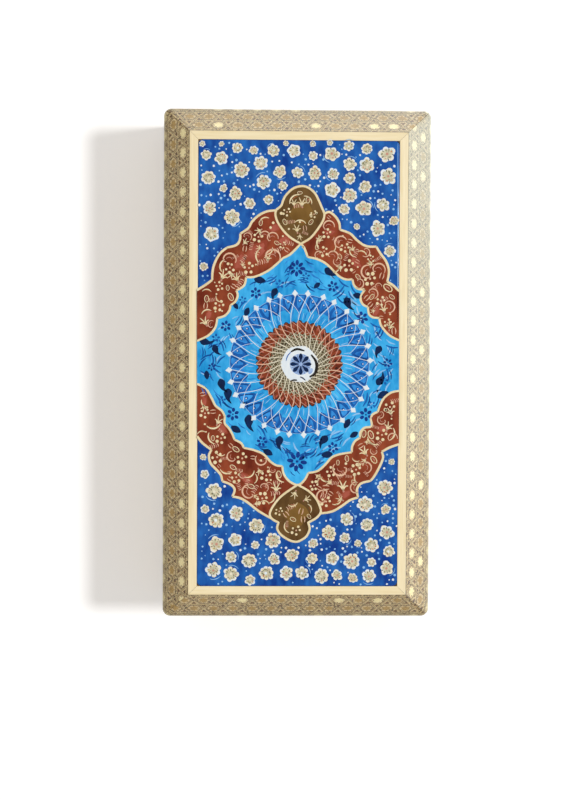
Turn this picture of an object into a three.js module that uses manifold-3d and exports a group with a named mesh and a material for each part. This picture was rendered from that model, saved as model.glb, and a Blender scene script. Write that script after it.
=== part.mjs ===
// A hinged jewelry box of wood, covered with khatam marquetry. The lid is bevelled on four sides and carries
// a painted plate framed by ivory-coloured strips. All sizes are millimetres. X runs along the box, Y from the
// front to the hinged rear, and Z up from the underside, whose centre is the origin.
import * as THREE from "three";
import { mergeVertices } from "three/addons/utils/BufferGeometryUtils.js";
import Module from "manifold-3d";

const wasm = await Module();
wasm.setup();

// Overall sizes, measured over the veneers and the painted plate.
const length = 200;
const width = 105.4;
const height = 65;
const lidHeight = 23;

// Clearances: between glued pieces, between lid and box, and round what turns in a hinge.
const glueLine = 0.1;
const seamGap = 0.3;
const turningGap = 0.25;
const pinGap = 0.08;

// The marquetry skin, and how far sanding has rounded its corners and the arris below the bevel.
const veneer = 1.2;
const cornerRound = 3;
const arrisRound = 4;
const rimStripHeight = 2;
const footStripHeight = 2.5;

// The lid's bevel, the strips that frame the plate, and the plate, which stands a little proud of them.
const bevelRun = 10.5;
const bevelSlope = THREE.MathUtils.degToRad(53);
const stripWidth = 3.3;
const stripThickness = 1.6;
const plateThickness = 2;
const platePride = 0.4;
const plateCorner = 1.8;
const plateEdgeRound = 0.5;

// Wooden cores. The boards sit in rabbets, each carried by a bearing of this width.
const wallCore = 8;
const boardThickness = 3;
const boardBearing = 3.5;
const flangeReach = 6.7;
const flangeThickness = 2.8;
const baseThickness = 4;
const baseBearing = 3;

// Felt under the box and velvet pads inside it.
const feltThickness = 1;
const feltInset = 1.5;
const feltCorner = 2;
const liningThickness = 1.4;
const liningDrop = 0.8;
const padThickness = 1.4;
const padCrown = 0.7;
const padEdgeRound = 0.6;
const padCorner = 1.2;

// Two butt hinges, let into the rear edges. The chamfered edges meet when the lid is open and stop it there.
const openAngle = THREE.MathUtils.degToRad(105);
const hingeInset = 2.4;
const hingeSetback = 44;
const hingeLength = 24;
const barrelRadius = 1.7;
const pinRadius = 0.8;
const pinHeadRadius = 1.2;
const pinHeadHeight = 0.5;
const leafThickness = 1;
const leafLand = 1;
const screwSpacing = 14;
const screwHeadRadius = 1.5;
const screwShankRadius = 0.75;
const screwLength = 6;
const screwSlotWidth = 0.4;
const screwSlotDepth = 0.35;

// Facets of the arcs.
const cornerFacets = 3;
const arrisFacets = 3;
const plateFacets = 5;
const roundFacets = 24;

// Heights.
const seamHeight = height - lidHeight;
const boxTop = seamHeight - seamGap / 2;
const lidBottom = seamHeight + seamGap / 2;
const stripTop = height - platePride;
const stripBottom = stripTop - stripThickness;
const lidCoreTop = stripBottom - glueLine;
const boardBottom = lidCoreTop - boardThickness;
const flangeTop = boardBottom - glueLine;
const flangeBottom = flangeTop - flangeThickness;
const arrisHeight = stripTop - bevelRun * Math.tan(bevelSlope);
const wallBottom = feltThickness + glueLine;
const baseTop = wallBottom + baseThickness;
const footStripTop = wallBottom + footStripHeight;
const boxRimBottom = boxTop - rimStripHeight;
const lidRimTop = lidBottom + rimStripHeight;

// Insets, each measured inwards from the outer face of a side.
const skin = veneer + glueLine;
const wallInner = skin + wallCore;
const liningOuter = wallInner + glueLine;
const liningInner = liningOuter + liningThickness;
const stripOuter = bevelRun;
const stripInner = stripOuter + stripWidth;
const flangeInner = wallInner + flangeReach;
const boardSeat = flangeInner - boardBearing;
const baseSeat = wallInner - baseBearing;
const leafReach = wallInner - leafLand - hingeInset;
const hingeAxisY = width / 2 - hingeInset;

// Sanding never goes through the veneer.
const cornerRadius = Math.min(cornerRound, (0.8 * veneer) / (1 - Math.SQRT1_2));

const sides = {
  front: { span: length, x: 0, y: -width / 2, turn: 0 },
  right: { span: width, x: length / 2, y: 0, turn: Math.PI / 2 },
  rear: { span: length, x: 0, y: width / 2, turn: Math.PI },
  left: { span: width, x: -length / 2, y: 0, turn: -Math.PI / 2 },
};
const trimmedSides = ["front", "right", "left"];

const finish = (color, roughness, metalness = 0) =>
  new THREE.MeshStandardMaterial({ color, roughness, metalness });
const khatam = () => finish(0xbfa67c, 0.3);
const ivory = () => finish(0xf0deb2, 0.35);
const edging = () => finish(0x6b4a2b, 0.35);
const paint = () => finish(0x1450b0, 0.15);
const walnut = () => finish(0x7a5230, 0.5);
const plywood = () => finish(0xb08a5c, 0.6);
const velvet = () => finish(0x7d1220, 0.95);
const felt = () => finish(0x2c4a33, 0.95);
const brass = () => finish(0xc7a04a, 0.3, 1);

// A closed solid of a three.js geometry, for cutting and joining.
function solidOf(geometry) {
  const bare = geometry.clone();
  bare.deleteAttribute("normal");
  bare.deleteAttribute("uv");
  const merged = mergeVertices(bare, 1e-4);
  return new wasm.Manifold(
    new wasm.Mesh({
      numProp: 3,
      vertProperties: merged.attributes.position.array,
      triVerts: new Uint32Array(merged.index.array),
    }),
  );
}

function geometryOf(solid) {
  const { vertProperties, triVerts } = solid.getMesh();
  const geometry = new THREE.BufferGeometry();
  geometry.setAttribute("position", new THREE.BufferAttribute(vertProperties, 3));
  geometry.setIndex(new THREE.BufferAttribute(triVerts, 1));
  geometry.computeVertexNormals();
  return geometry;
}

function meshOf(name, geometry, material) {
  const mesh = new THREE.Mesh(geometry, material);
  mesh.name = name;
  return mesh;
}

// Rings of points, all alike in number, joined into one closed skin with a flat face at each end.
function loft(rings, capOutline) {
  const count = rings[0].length;
  const index = [];
  for (let ring = 0; ring + 1 < rings.length; ring++)
    for (let i = 0; i < count; i++) {
      const next = (i + 1) % count;
      const [a, b] = [ring * count + i, ring * count + next];
      index.push(a, b, b + count, a, b + count, a + count);
    }
  const last = (rings.length - 1) * count;
  for (const [a, b, c] of THREE.ShapeUtils.triangulateShape(capOutline, [])) {
    index.push(a, c, b);
    index.push(last + a, last + b, last + c);
  }
  const geometry = new THREE.BufferGeometry();
  geometry.setAttribute("position", new THREE.Float32BufferAttribute(rings.flat(2), 3));
  geometry.setIndex(index);
  return geometry;
}

// A bar along X whose ends are mitred at 45 degrees. Its profile is a list of { inset, z, outer }, run
// anticlockwise with the inset to the right, and the outer points follow the rounded corners of the box.
function mitredBar(profile, span, radius = 0) {
  const facets = radius > 0 ? cornerFacets : 0;
  const turns = Array.from({ length: facets + 1 }, (_, step) => (Math.PI / 4) * (1 - step / cornerFacets));
  const ringAt = (turn, end) =>
    profile.map(({ inset, z, outer }) => {
      const along = radius * (outer ? 1 - Math.sin(turn) : Math.SQRT1_2 - Math.sin(turn));
      const inwards = outer ? radius * (1 - Math.cos(turn)) : 0;
      return [end * (span / 2 - inset - along - glueLine / 2), inset + inwards, z];
    });
  const leftEnd = turns.map((turn) => ringAt(turn, -1));
  const rightEnd = turns.map((turn) => ringAt(turn, 1)).reverse();
  const cap = leftEnd[0].map(([, depth, z]) => new THREE.Vector2(depth, z));
  return loft([...leftEnd, ...rightEnd], cap);
}

// The outline of a rectangle with rounded corners, run anticlockwise.
function roundedRectangle(halfX, halfY, radius) {
  const corners = [
    [halfX - radius, halfY - radius],
    [radius - halfX, halfY - radius],
    [radius - halfX, radius - halfY],
    [halfX - radius, radius - halfY],
  ];
  return corners.flatMap(([x, y], corner) =>
    Array.from({ length: plateFacets + 1 }, (_, step) => {
      const angle = ((corner + step / plateFacets) * Math.PI) / 2;
      return [x + radius * Math.cos(angle), y + radius * Math.sin(angle)];
    }),
  );
}

// A flat slab built up in layers { inset, z } from the bottom to the top, each layer a rounded rectangle.
function layeredSlab(halfX, halfY, corner, layers) {
  const sharpest = 0.2;
  const rings = layers.map(({ inset, z }) => {
    const outline = roundedRectangle(halfX - inset, halfY - inset, Math.max(corner - inset, sharpest));
    return outline.map(([x, y]) => [x, y, z]);
  });
  const cap = rings[0].map(([x, y]) => new THREE.Vector2(x, y));
  return loft(rings, cap);
}

// A board or pad that fills the rectangle at this inset from the outer faces.
function slabAt(inset, corner, layers) {
  return layeredSlab(length / 2 - inset, width / 2 - inset, corner, layers);
}

// Layers of a quarter-round edge that ends at this height.
function roundedEdge(radius, z, facets = 3) {
  return Array.from({ length: facets + 1 }, (_, step) => {
    const angle = (step / facets) * (Math.PI / 2);
    return { inset: radius * (1 - Math.cos(angle)), z: z - radius * (1 - Math.sin(angle)) };
  });
}

// Layers of a velvet pad: a rounded edge and a soft crown that flattens towards the middle.
function padLayers(thickness, crown) {
  const edge = roundedEdge(padEdgeRound, thickness);
  const reach = width / 2 - liningInner;
  const crownLayers = [0.06, 0.16, 0.32, 0.55, 0.8].map((share) => ({
    inset: padEdgeRound + share * reach,
    z: thickness + crown * (1 - (1 - share) ** 3),
  }));
  return [{ inset: 0, z: 0 }, ...edge, ...crownLayers];
}

// The height of the bevel at an inset, and the inset at a height, at a depth below its face.
const bevelHeight = (inset, depth = 0) =>
  arrisHeight + inset * Math.tan(bevelSlope) - depth / Math.cos(bevelSlope);
const bevelInset = (z, depth = 0) =>
  (z - arrisHeight + depth / Math.cos(bevelSlope)) / Math.tan(bevelSlope);

// Points of the rounded arris between two angles, seen from the arc's centre inside the wood.
function arrisArc(from, to) {
  const tangent = arrisRound * Math.tan((Math.PI / 2 - bevelSlope) / 2);
  return Array.from({ length: arrisFacets + 1 }, (_, step) => {
    const angle = from + ((to - from) * step) / arrisFacets;
    return {
      inset: arrisRound * (1 + Math.cos(angle)),
      z: arrisHeight - tangent + arrisRound * Math.sin(angle),
      outer: true,
    };
  });
}

const rectangle = (outerInset, innerInset, bottom, top) => [
  { inset: outerInset, z: bottom, outer: true },
  { inset: innerInset, z: bottom },
  { inset: innerInset, z: top },
  { inset: outerInset, z: top, outer: true },
];

function addBar(group, name, side, profile, material, radius = 0) {
  const { span, x, y, turn } = sides[side];
  const mesh = meshOf(`${name}_${side}`, mitredBar(profile, span, radius), material);
  mesh.position.set(x, y, 0);
  mesh.rotation.z = turn;
  group.add(mesh);
  return mesh;
}

// The lid's moulded rail: a skirt, a bevelled face, and a flange with a rabbet that carries the board.
function lidRailProfile() {
  return [
    { inset: skin, z: lidBottom },
    { inset: wallInner, z: lidBottom },
    { inset: wallInner, z: flangeBottom },
    { inset: flangeInner, z: flangeBottom },
    { inset: flangeInner, z: flangeTop },
    { inset: boardSeat, z: flangeTop },
    { inset: boardSeat, z: lidCoreTop },
    { inset: bevelInset(lidCoreTop, skin), z: lidCoreTop },
    { inset: skin, z: bevelHeight(skin, skin) },
  ];
}

// Bevel and skirt veneers meet on the line that halves the arris.
const arrisMiddle = (Math.PI + Math.PI / 2 + bevelSlope) / 2;
const arrisSplit = glueLine / 2 / arrisRound;

function bevelVeneerProfile() {
  const top = stripOuter - glueLine;
  const foot = veneer + glueLine / 2;
  return [
    ...arrisArc(Math.PI / 2 + bevelSlope, arrisMiddle - arrisSplit),
    { inset: foot, z: bevelHeight(foot, veneer) },
    { inset: top, z: bevelHeight(top, veneer) },
    { inset: top, z: bevelHeight(top) },
  ];
}

function skirtVeneerProfile(bottom) {
  return [
    ...arrisArc(arrisMiddle + arrisSplit, Math.PI),
    { inset: 0, z: bottom, outer: true },
    { inset: veneer, z: bottom },
    { inset: veneer, z: bevelHeight(veneer, veneer) - glueLine / 2 },
  ];
}

// A wall of the box, with a rabbet that carries the base board.
function wallProfile() {
  return [
    { inset: skin, z: wallBottom },
    { inset: baseSeat, z: wallBottom },
    { inset: baseSeat, z: baseTop + glueLine },
    { inset: wallInner, z: baseTop + glueLine },
    { inset: wallInner, z: boxTop },
    { inset: skin, z: boxTop },
  ];
}

// Velvet turned over the top edge of its card.
function wallLiningProfile() {
  const top = boxTop - liningDrop;
  const round = Math.min(padEdgeRound, 0.45 * liningThickness);
  return [
    { inset: liningOuter, z: baseTop + glueLine },
    { inset: liningInner, z: baseTop + glueLine },
    { inset: liningInner, z: top - round },
    { inset: liningInner - round * (1 - Math.SQRT1_2), z: top - round * (1 - Math.SQRT1_2) },
    { inset: liningInner - round, z: top },
    { inset: liningOuter, z: top },
  ];
}

function buildLidBars(group) {
  for (const side of Object.keys(sides)) {
    const trimmed = trimmedSides.includes(side);
    addBar(group, "lid_rail", side, lidRailProfile(), walnut());
    addBar(group, "bevel_veneer", side, bevelVeneerProfile(), khatam(), cornerRadius);
    const bottom = trimmed ? lidRimTop + glueLine : lidBottom;
    addBar(group, "skirt_veneer", side, skirtVeneerProfile(bottom), khatam(), cornerRadius);
    addBar(group, "ivory_strip", side, rectangle(stripOuter, stripInner, stripBottom, stripTop), ivory());
  }
  for (const side of trimmedSides)
    addBar(group, "lid_rim_strip", side, rectangle(0, veneer, lidBottom, lidRimTop), edging(), cornerRadius);
}

function buildBoxBars(group) {
  for (const side of Object.keys(sides)) {
    const trimmed = trimmedSides.includes(side);
    addBar(group, "wall", side, wallProfile(), walnut());
    const top = trimmed ? boxRimBottom - glueLine : boxTop;
    const veneerProfile = rectangle(0, veneer, footStripTop + glueLine, top);
    addBar(group, "wall_veneer", side, veneerProfile, khatam(), cornerRadius);
    addBar(group, "foot_strip", side, rectangle(0, veneer, wallBottom, footStripTop), edging(), cornerRadius);
    addBar(group, "wall_lining", side, wallLiningProfile(), velvet());
  }
  for (const side of trimmedSides)
    addBar(group, "box_rim_strip", side, rectangle(0, veneer, boxRimBottom, boxTop), edging(), cornerRadius);
}

function lidBoard() {
  const layers = [
    { inset: 0, z: boardBottom },
    { inset: 0, z: lidCoreTop },
  ];
  return meshOf("lid_board", slabAt(boardSeat + glueLine, glueLine, layers), plywood());
}

function paintedPlate() {
  const layers = [{ inset: 0, z: height - plateThickness }, ...roundedEdge(plateEdgeRound, height)];
  return meshOf("painted_plate", slabAt(stripInner + glueLine, plateCorner, layers), paint());
}

function lidLining() {
  const geometry = slabAt(liningOuter, padCorner, padLayers(padThickness, padCrown));
  const mesh = meshOf("lid_lining", geometry, velvet());
  mesh.rotation.x = Math.PI;
  mesh.position.z = flangeBottom - glueLine;
  return mesh;
}

function floorLining() {
  const geometry = slabAt(liningInner + glueLine, padCorner, padLayers(padThickness, padCrown));
  const mesh = meshOf("floor_lining", geometry, velvet());
  mesh.position.z = baseTop + glueLine;
  return mesh;
}

function baseBoard() {
  const layers = [
    { inset: 0, z: wallBottom },
    { inset: 0, z: baseTop },
  ];
  return meshOf("base_board", slabAt(baseSeat + glueLine, glueLine, layers), plywood());
}

function baseFelt() {
  const layers = [
    { inset: 0, z: 0 },
    { inset: 0, z: feltThickness },
  ];
  return meshOf("base_felt", slabAt(feltInset, feltCorner, layers), felt());
}

// Solids for cutting, in the frame of the box.
function block(sizeX, sizeY, sizeZ, x, y, z) {
  return solidOf(new THREE.BoxGeometry(sizeX, sizeY, sizeZ).translate(x, y, z));
}

function rodAlongX(radius, rodLength, x = 0, y = 0, z = 0) {
  const cylinder = new THREE.CylinderGeometry(radius, radius, rodLength, roundFacets);
  return solidOf(cylinder.rotateZ(Math.PI / 2).translate(x, y, z));
}

// The groove that the two rear chamfers make. It leaves the chamfers apart by the seam's gap when they meet.
function rearGroove() {
  const past = 1;
  const reach = hingeInset + past;
  const slope = Math.tan(openAngle / 2);
  const atAxis = seamGap / 2 / Math.cos(openAngle / 2);
  const start = (seamGap / 2 - atAxis) / slope;
  const outline = new THREE.Shape([
    new THREE.Vector2(start, -seamGap / 2),
    new THREE.Vector2(reach, -atAxis - reach * slope),
    new THREE.Vector2(reach, atAxis + reach * slope),
    new THREE.Vector2(start, seamGap / 2),
  ]);
  const grooveLength = length + 2 * past;
  const prism = new THREE.ExtrudeGeometry(outline, { depth: grooveLength, bevelEnabled: false });
  prism.rotateX(Math.PI / 2).rotateZ(Math.PI / 2);
  return solidOf(prism.translate(-grooveLength / 2, hingeAxisY, seamHeight));
}

const hingeFromMiddle = length / 2 - hingeSetback;
const hingeCentres = { left: -hingeFromMiddle, right: hingeFromMiddle };
const channelRadius = barrelRadius + turningGap;
const pinHalf = hingeLength / 2 + pinGap;
const screwSeat = (channelRadius + leafReach) / 2;
const screwOffsets = [-screwSpacing / 2, screwSpacing / 2];

// The room that one hinge needs in the wood: a round channel, two leaf pockets and four screw holes.
function hingePocket(centre) {
  const channelLength = 2 * (pinHalf + pinHeadHeight + turningGap);
  const channel = rodAlongX(channelRadius, channelLength, centre, hingeAxisY, seamHeight);
  const depth = seamGap + 2 * (leafThickness + glueLine);
  const reach = leafReach + glueLine;
  const pocket = block(
    hingeLength + 2 * glueLine,
    reach,
    depth,
    centre,
    hingeAxisY - reach / 2,
    seamHeight,
  );
  const holes = screwOffsets.map((offset) => {
    const hole = new THREE.CylinderGeometry(
      screwShankRadius + glueLine,
      screwShankRadius + glueLine,
      2 * (screwLength + glueLine) + seamGap,
      roundFacets,
    );
    hole.rotateX(Math.PI / 2);
    return solidOf(hole.translate(centre + offset, hingeAxisY - screwSeat, seamHeight));
  });
  return holes.reduce((sum, hole) => sum.add(hole), channel.add(pocket));
}

// Cuts the mesh where it stands with a solid that is given in the frame of the box.
function carve(mesh, cutter) {
  mesh.updateMatrix();
  const intoMesh = mesh.matrix.clone().invert();
  const local = solidOf(geometryOf(cutter).applyMatrix4(intoMesh));
  mesh.geometry = geometryOf(solidOf(mesh.geometry).subtract(local));
}

function carveRearEdges(group) {
  const groove = rearGroove();
  const pockets = Object.values(hingeCentres).map(hingePocket);
  const everything = pockets.reduce((sum, pocket) => sum.add(pocket), groove);
  const rearOnly = ["lid_rail_rear", "wall_rear", "skirt_veneer_rear", "wall_veneer_rear"];
  const cornered = ["lid_rail", "wall", "skirt_veneer", "wall_veneer", "lid_rim_strip", "box_rim_strip"];
  for (const mesh of group.children) {
    if (rearOnly.includes(mesh.name)) carve(mesh, everything);
    else if (cornered.some((stem) => mesh.name === `${stem}_left` || mesh.name === `${stem}_right`))
      carve(mesh, groove);
  }
}

// A rod in the place of one of the three knuckles, longer by this much where another knuckle is next to it.
const knuckleEnds = [-hingeLength / 2, -hingeLength / 6, hingeLength / 6, hingeLength / 2];
function knuckle(place, radius, more) {
  const past = Math.max(more, 0);
  const start = knuckleEnds[place] - (place > 0 ? more : past);
  const end = knuckleEnds[place + 1] + (place < 2 ? more : past);
  return rodAlongX(radius, end - start, (start + end) / 2);
}

// One leaf of a hinge, on the upper side of the axis. It carries the knuckles in the places that are listed,
// and is cut clear of the others.
function hingeLeaf(ownPlaces) {
  const middle = (seamGap + leafThickness) / 2;
  let leaf = block(hingeLength, leafReach, leafThickness, 0, -leafReach / 2, middle);
  for (const place of [0, 1, 2])
    leaf = ownPlaces.includes(place)
      ? leaf.add(knuckle(place, barrelRadius, -turningGap / 2))
      : leaf.subtract(knuckle(place, channelRadius, turningGap / 2));
  leaf = leaf.subtract(rodAlongX(pinRadius + pinGap, 2 * hingeLength));
  for (const offset of screwOffsets) leaf = leaf.subtract(screwCountersink(offset));
  return geometryOf(leaf);
}

// A hole through the leaf that follows the screw's cone with a thin gap all round.
function screwCountersink(offset) {
  const past = 0.5;
  const wide = screwHeadRadius + glueLine;
  const narrow = screwShankRadius + glueLine;
  const profile = [
    [0, -past],
    [wide, -past],
    [wide, 0],
    [narrow, leafThickness],
    [narrow, leafThickness + past],
    [0, leafThickness + past],
  ];
  const points = profile.map(([radius, z]) => new THREE.Vector2(radius, z));
  const cone = new THREE.LatheGeometry(points, roundFacets).rotateX(Math.PI / 2);
  return solidOf(cone.translate(offset, -screwSeat, seamGap / 2));
}

// A countersunk wood screw with a slotted head, pointing up, its head flush with the origin's plane.
function screw() {
  const profile = [
    [0, 0],
    [screwHeadRadius, 0],
    [screwShankRadius, leafThickness - glueLine],
    [screwShankRadius, screwLength - screwShankRadius],
    [0, screwLength],
  ];
  const points = profile.map(([radius, z]) => new THREE.Vector2(radius, z));
  const body = solidOf(new THREE.LatheGeometry(points, roundFacets / 2).rotateX(Math.PI / 2));
  const slot = block(3 * screwHeadRadius, screwSlotWidth, 2 * screwSlotDepth, 0, 0, 0);
  return geometryOf(body.subtract(slot));
}

// The pin, with a domed head at each end of the barrel.
function hingePin() {
  const domed = (end) => [
    [pinRadius, end * pinHalf],
    [pinHeadRadius, end * pinHalf],
    [pinHeadRadius * Math.SQRT1_2, end * (pinHalf + pinHeadHeight * Math.SQRT1_2)],
    [0, end * (pinHalf + pinHeadHeight)],
  ];
  const profile = [...domed(-1).reverse(), ...domed(1)];
  const points = profile.map(([radius, x]) => new THREE.Vector2(radius, x));
  const pin = new THREE.LatheGeometry(points, roundFacets / 2).rotateZ(-Math.PI / 2);
  return geometryOf(solidOf(pin));
}

function addHinges(lid, box) {
  for (const [hand, centre] of Object.entries(hingeCentres)) {
    const [lidHalf, boxHalf] = [new THREE.Group(), new THREE.Group()];
    for (const half of [lidHalf, boxHalf]) half.position.set(centre, hingeAxisY, seamHeight);
    boxHalf.rotation.y = Math.PI;
    lidHalf.add(meshOf(`hinge_${hand}_lid_leaf`, hingeLeaf([1]), brass()));
    boxHalf.add(meshOf(`hinge_${hand}_box_leaf`, hingeLeaf([0, 2]), brass()));
    boxHalf.add(meshOf(`hinge_${hand}_pin`, hingePin(), brass()));
    for (const [owner, half] of Object.entries({ lid: lidHalf, box: boxHalf }))
      screwOffsets.forEach((offset, number) => {
        const mesh = meshOf(`hinge_${hand}_${owner}_screw_${number + 1}`, screw(), brass());
        mesh.position.set(offset, -screwSeat, seamGap / 2);
        half.add(mesh);
      });
    lid.add(lidHalf);
    box.add(boxHalf);
  }
}

function buildLid() {
  const lid = new THREE.Group();
  buildLidBars(lid);
  carveRearEdges(lid);
  lid.add(lidBoard(), paintedPlate(), lidLining());
  return lid;
}

function buildBox() {
  const box = new THREE.Group();
  buildBoxBars(box);
  carveRearEdges(box);
  box.add(baseBoard(), baseFelt(), floorLining());
  return box;
}

const lid = buildLid();
const box = buildBox();
addHinges(lid, box);

const jewelryBox = new THREE.Group();
jewelryBox.add(box, lid);

export default jewelryBox;
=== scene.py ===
"""The looks of a khatam jewelry box: marquetry, a painted plate, bone strips, velvet and brass.

The frame is the box's own: metres, +X along the box, +Y to the hinged rear, +Z up. Sizes written in the
classes are millimetres. A sheet of marquetry is laid out flat and then bent over the side that carries it.
"""

import logging
import math
import random
from collections.abc import Sequence
from dataclasses import dataclass, field, replace
from enum import Enum
from functools import cache

import bmesh
import bpy
import numpy as np
from bpy.types import Material, Mesh, Node, NodeSocket, NodeTree, Object, World
from mathutils import Matrix, Vector


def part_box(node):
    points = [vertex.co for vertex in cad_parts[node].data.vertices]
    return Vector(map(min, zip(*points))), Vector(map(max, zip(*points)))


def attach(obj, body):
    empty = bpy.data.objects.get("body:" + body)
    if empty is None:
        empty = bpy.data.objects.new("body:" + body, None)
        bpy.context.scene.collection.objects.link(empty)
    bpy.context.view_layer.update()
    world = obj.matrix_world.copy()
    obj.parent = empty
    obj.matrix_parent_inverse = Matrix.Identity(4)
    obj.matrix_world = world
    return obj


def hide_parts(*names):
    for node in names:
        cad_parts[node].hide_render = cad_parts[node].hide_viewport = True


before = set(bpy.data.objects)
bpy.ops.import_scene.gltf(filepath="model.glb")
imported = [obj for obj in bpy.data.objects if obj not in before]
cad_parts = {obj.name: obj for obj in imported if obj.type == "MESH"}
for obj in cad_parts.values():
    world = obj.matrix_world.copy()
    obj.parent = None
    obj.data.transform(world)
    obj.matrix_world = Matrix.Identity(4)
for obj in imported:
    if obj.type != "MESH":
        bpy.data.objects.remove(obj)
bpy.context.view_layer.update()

MM = 0.001
LENGTH, WIDTH = 200.0, 105.4
# How far apart the rows of a triangular lattice lie when its pitch is 1.
ROW = math.sqrt(3) / 2

log = logging.getLogger("khatam_box")

Point = tuple[float, float]
Colour = tuple[float, float, float, float]


def colour_of(code: str) -> Colour:
    """Turns a screen's colour, six hexadecimal digits, into the linear one that shaders use."""
    parts = [int(code[i : i + 2], 16) / 255 for i in (0, 2, 4)]
    return (*(c / 12.92 if c <= 0.04045 else ((c + 0.055) / 1.055) ** 2.4 for c in parts), 1.0)


class Wiring:
    """Lays out the nodes of one tree."""

    def __init__(self, tree: NodeTree) -> None:
        """Keeps the tree that the nodes go into."""
        self.tree = tree

    def add(self, kind: str, values: dict[str, object] | None = None, **settings: object) -> Node:
        """Adds one node.

        Args:
            kind: The node's type name.
            values: What goes into its inputs, by name: a plain value or another node's output.
            **settings: Its properties, which are set first because they choose its sockets.

        Returns:
            The new node.
        """
        node = self.tree.nodes.new(kind)
        for name, value in settings.items():
            setattr(node, name, value)
        for name, value in (values or {}).items():
            self.feed(next(s for s in node.inputs if s.name == name and s.enabled), value)
        return node

    def feed(self, socket: NodeSocket, value: object) -> None:
        """Links an output into a socket, or writes a plain value on it.

        Args:
            socket: The socket.
            value: The output or the plain value.
        """
        if isinstance(value, NodeSocket):
            self.tree.links.new(value, socket)
        else:
            socket.default_value = value

    def math(self, operation: str, *terms: object, kind: str = "ShaderNodeMath") -> NodeSocket:
        """Adds a sum.

        Args:
            operation: What it does.
            *terms: Its terms, in order.
            kind: The node's type name.

        Returns:
            Its result.
        """
        node = self.add(kind, operation=operation)
        for socket, term in zip([s for s in node.inputs if s.enabled], terms, strict=False):
            self.feed(socket, term)
        return node.outputs[0]

    def times(self, first: object, second: object) -> NodeSocket:
        """Multiplies two numbers."""
        return self.math("MULTIPLY", first, second)

    def plus(self, first: object, second: object) -> NodeSocket:
        """Adds two numbers."""
        return self.math("ADD", first, second)

    def minus(self, first: object, second: object) -> NodeSocket:
        """Takes the second number from the first."""
        return self.math("SUBTRACT", first, second)

    def vector(self, operation: str, *terms: object) -> NodeSocket:
        """Adds a sum on vectors and returns its vector."""
        return self.math(operation, *terms, kind="ShaderNodeVectorMath")

    def mix(self, factor: object, first: object, second: object) -> NodeSocket:
        """Mixes two colours and returns the result."""
        node = self.add("ShaderNodeMix", {"Factor": factor, "A": first, "B": second}, data_type="RGBA")
        return next(s for s in node.outputs if s.enabled)

    def mix_number(self, factor: object, first: object, second: object) -> NodeSocket:
        """Mixes two numbers."""
        return self.plus(first, self.times(factor, self.minus(second, first)))

    def noise(self, where: object, scale: object, detail: float = 3.0) -> NodeSocket:
        """Adds a noise and returns its value from 0 to 1."""
        values = {"Vector": where, "Scale": scale, "Detail": detail}
        return self.add("ShaderNodeTexNoise", values).outputs["Fac"]

    def ramp(self, value: object, low: float, high: float) -> NodeSocket:
        """Spreads the part of a value between two levels over 0 to 1."""
        values = {"Value": value, "From Min": low, "From Max": high}
        return self.add("ShaderNodeMapRange", values, clamp=True).outputs[0]

    def parts(self, vector: object) -> dict[str, NodeSocket]:
        """Returns a vector's three parts, by number or by X, Y and Z."""
        return self.add("ShaderNodeSeparateXYZ", {"Vector": vector}).outputs

    def bump(self, height: object, distance: float, strength: float = 1.0) -> NodeSocket:
        """Returns the normal of a relief, whose full height is in metres."""
        values = {"Strength": strength, "Distance": distance, "Height": height}
        return self.add("ShaderNodeBump", values).outputs[0]

    def on_object(self, kind: str = "Object") -> NodeSocket:
        """Returns the place on the object, or its normal there, in the object's own frame."""
        return self.add("ShaderNodeTexCoord").outputs[kind]

    def millimetres(self) -> NodeSocket:
        """Returns the place on the object, in millimetres."""
        return self.vector("SCALE", self.on_object(), 1 / MM)

    def group(self, tree: NodeTree, **values: object) -> Node:
        """Places a node group.

        Args:
            tree: The group's tree.
            **values: Its inputs by name, where an underscore stands for a space.

        Returns:
            The group's node.
        """
        node = self.add("ShaderNodeGroup", node_tree=tree)
        for name, value in values.items():
            self.feed(node.inputs[name.replace("_", " ")], value)
        return node

    def brushed(self, place: object, colours: tuple[str, str], stroke: float, amount: float) -> Node:
        """Places the brushwork of two colours and returns its node."""
        values = dict(zip(("Main", "Other"), map(colour_of, colours), strict=True))
        return self.group(brushwork(), Vector=place, **values, Stroke=stroke, Amount=amount)

    def lacquered(self, shader: Node, place: object, relief: object, swell: float, through: float) -> None:
        """Lays lacquer over a relief: the shader's normals follow both.

        Args:
            shader: The shader.
            place: The place on the object in millimetres.
            relief: The relief's height in millimetres.
            swell: How high the lacquer swells, in millimetres.
            through: How much of the relief shows through.
        """
        film = self.group(lacquer(), Vector=place, Relief=relief, Swell=swell, Show_Through=through)
        self.feed(shader.inputs["Normal"], film.outputs[0])
        if shader.inputs["Coat Weight"].default_value:
            self.feed(shader.inputs["Coat Normal"], film.outputs[0])

    def attribute(self, name: str, kind: str = "FLOAT") -> NodeSocket:
        """Reads one of the geometry's attributes."""
        return self.add("GeometryNodeInputNamedAttribute", {"Name": name}, data_type=kind).outputs[0]

    def store(
        self, shape: object, name: str, value: object, kind: str = "FLOAT", domain: str = "FACE"
    ) -> NodeSocket:
        """Stores an attribute on the geometry and returns the geometry."""
        values = {"Geometry": shape, "Name": name, "Value": value}
        return self.add("GeometryNodeStoreNamedAttribute", values, data_type=kind, domain=domain).outputs[0]


class Socket(Enum):
    """The kinds of value that a node group takes in and gives out."""

    NUMBER = "NodeSocketFloat"
    WHOLE = "NodeSocketInt"
    COLOUR = "NodeSocketColor"
    VECTOR = "NodeSocketVector"
    SHAPE = "NodeSocketGeometry"
    COLLECTION = "NodeSocketCollection"


Sockets = dict[Socket, Sequence[str]]


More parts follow.
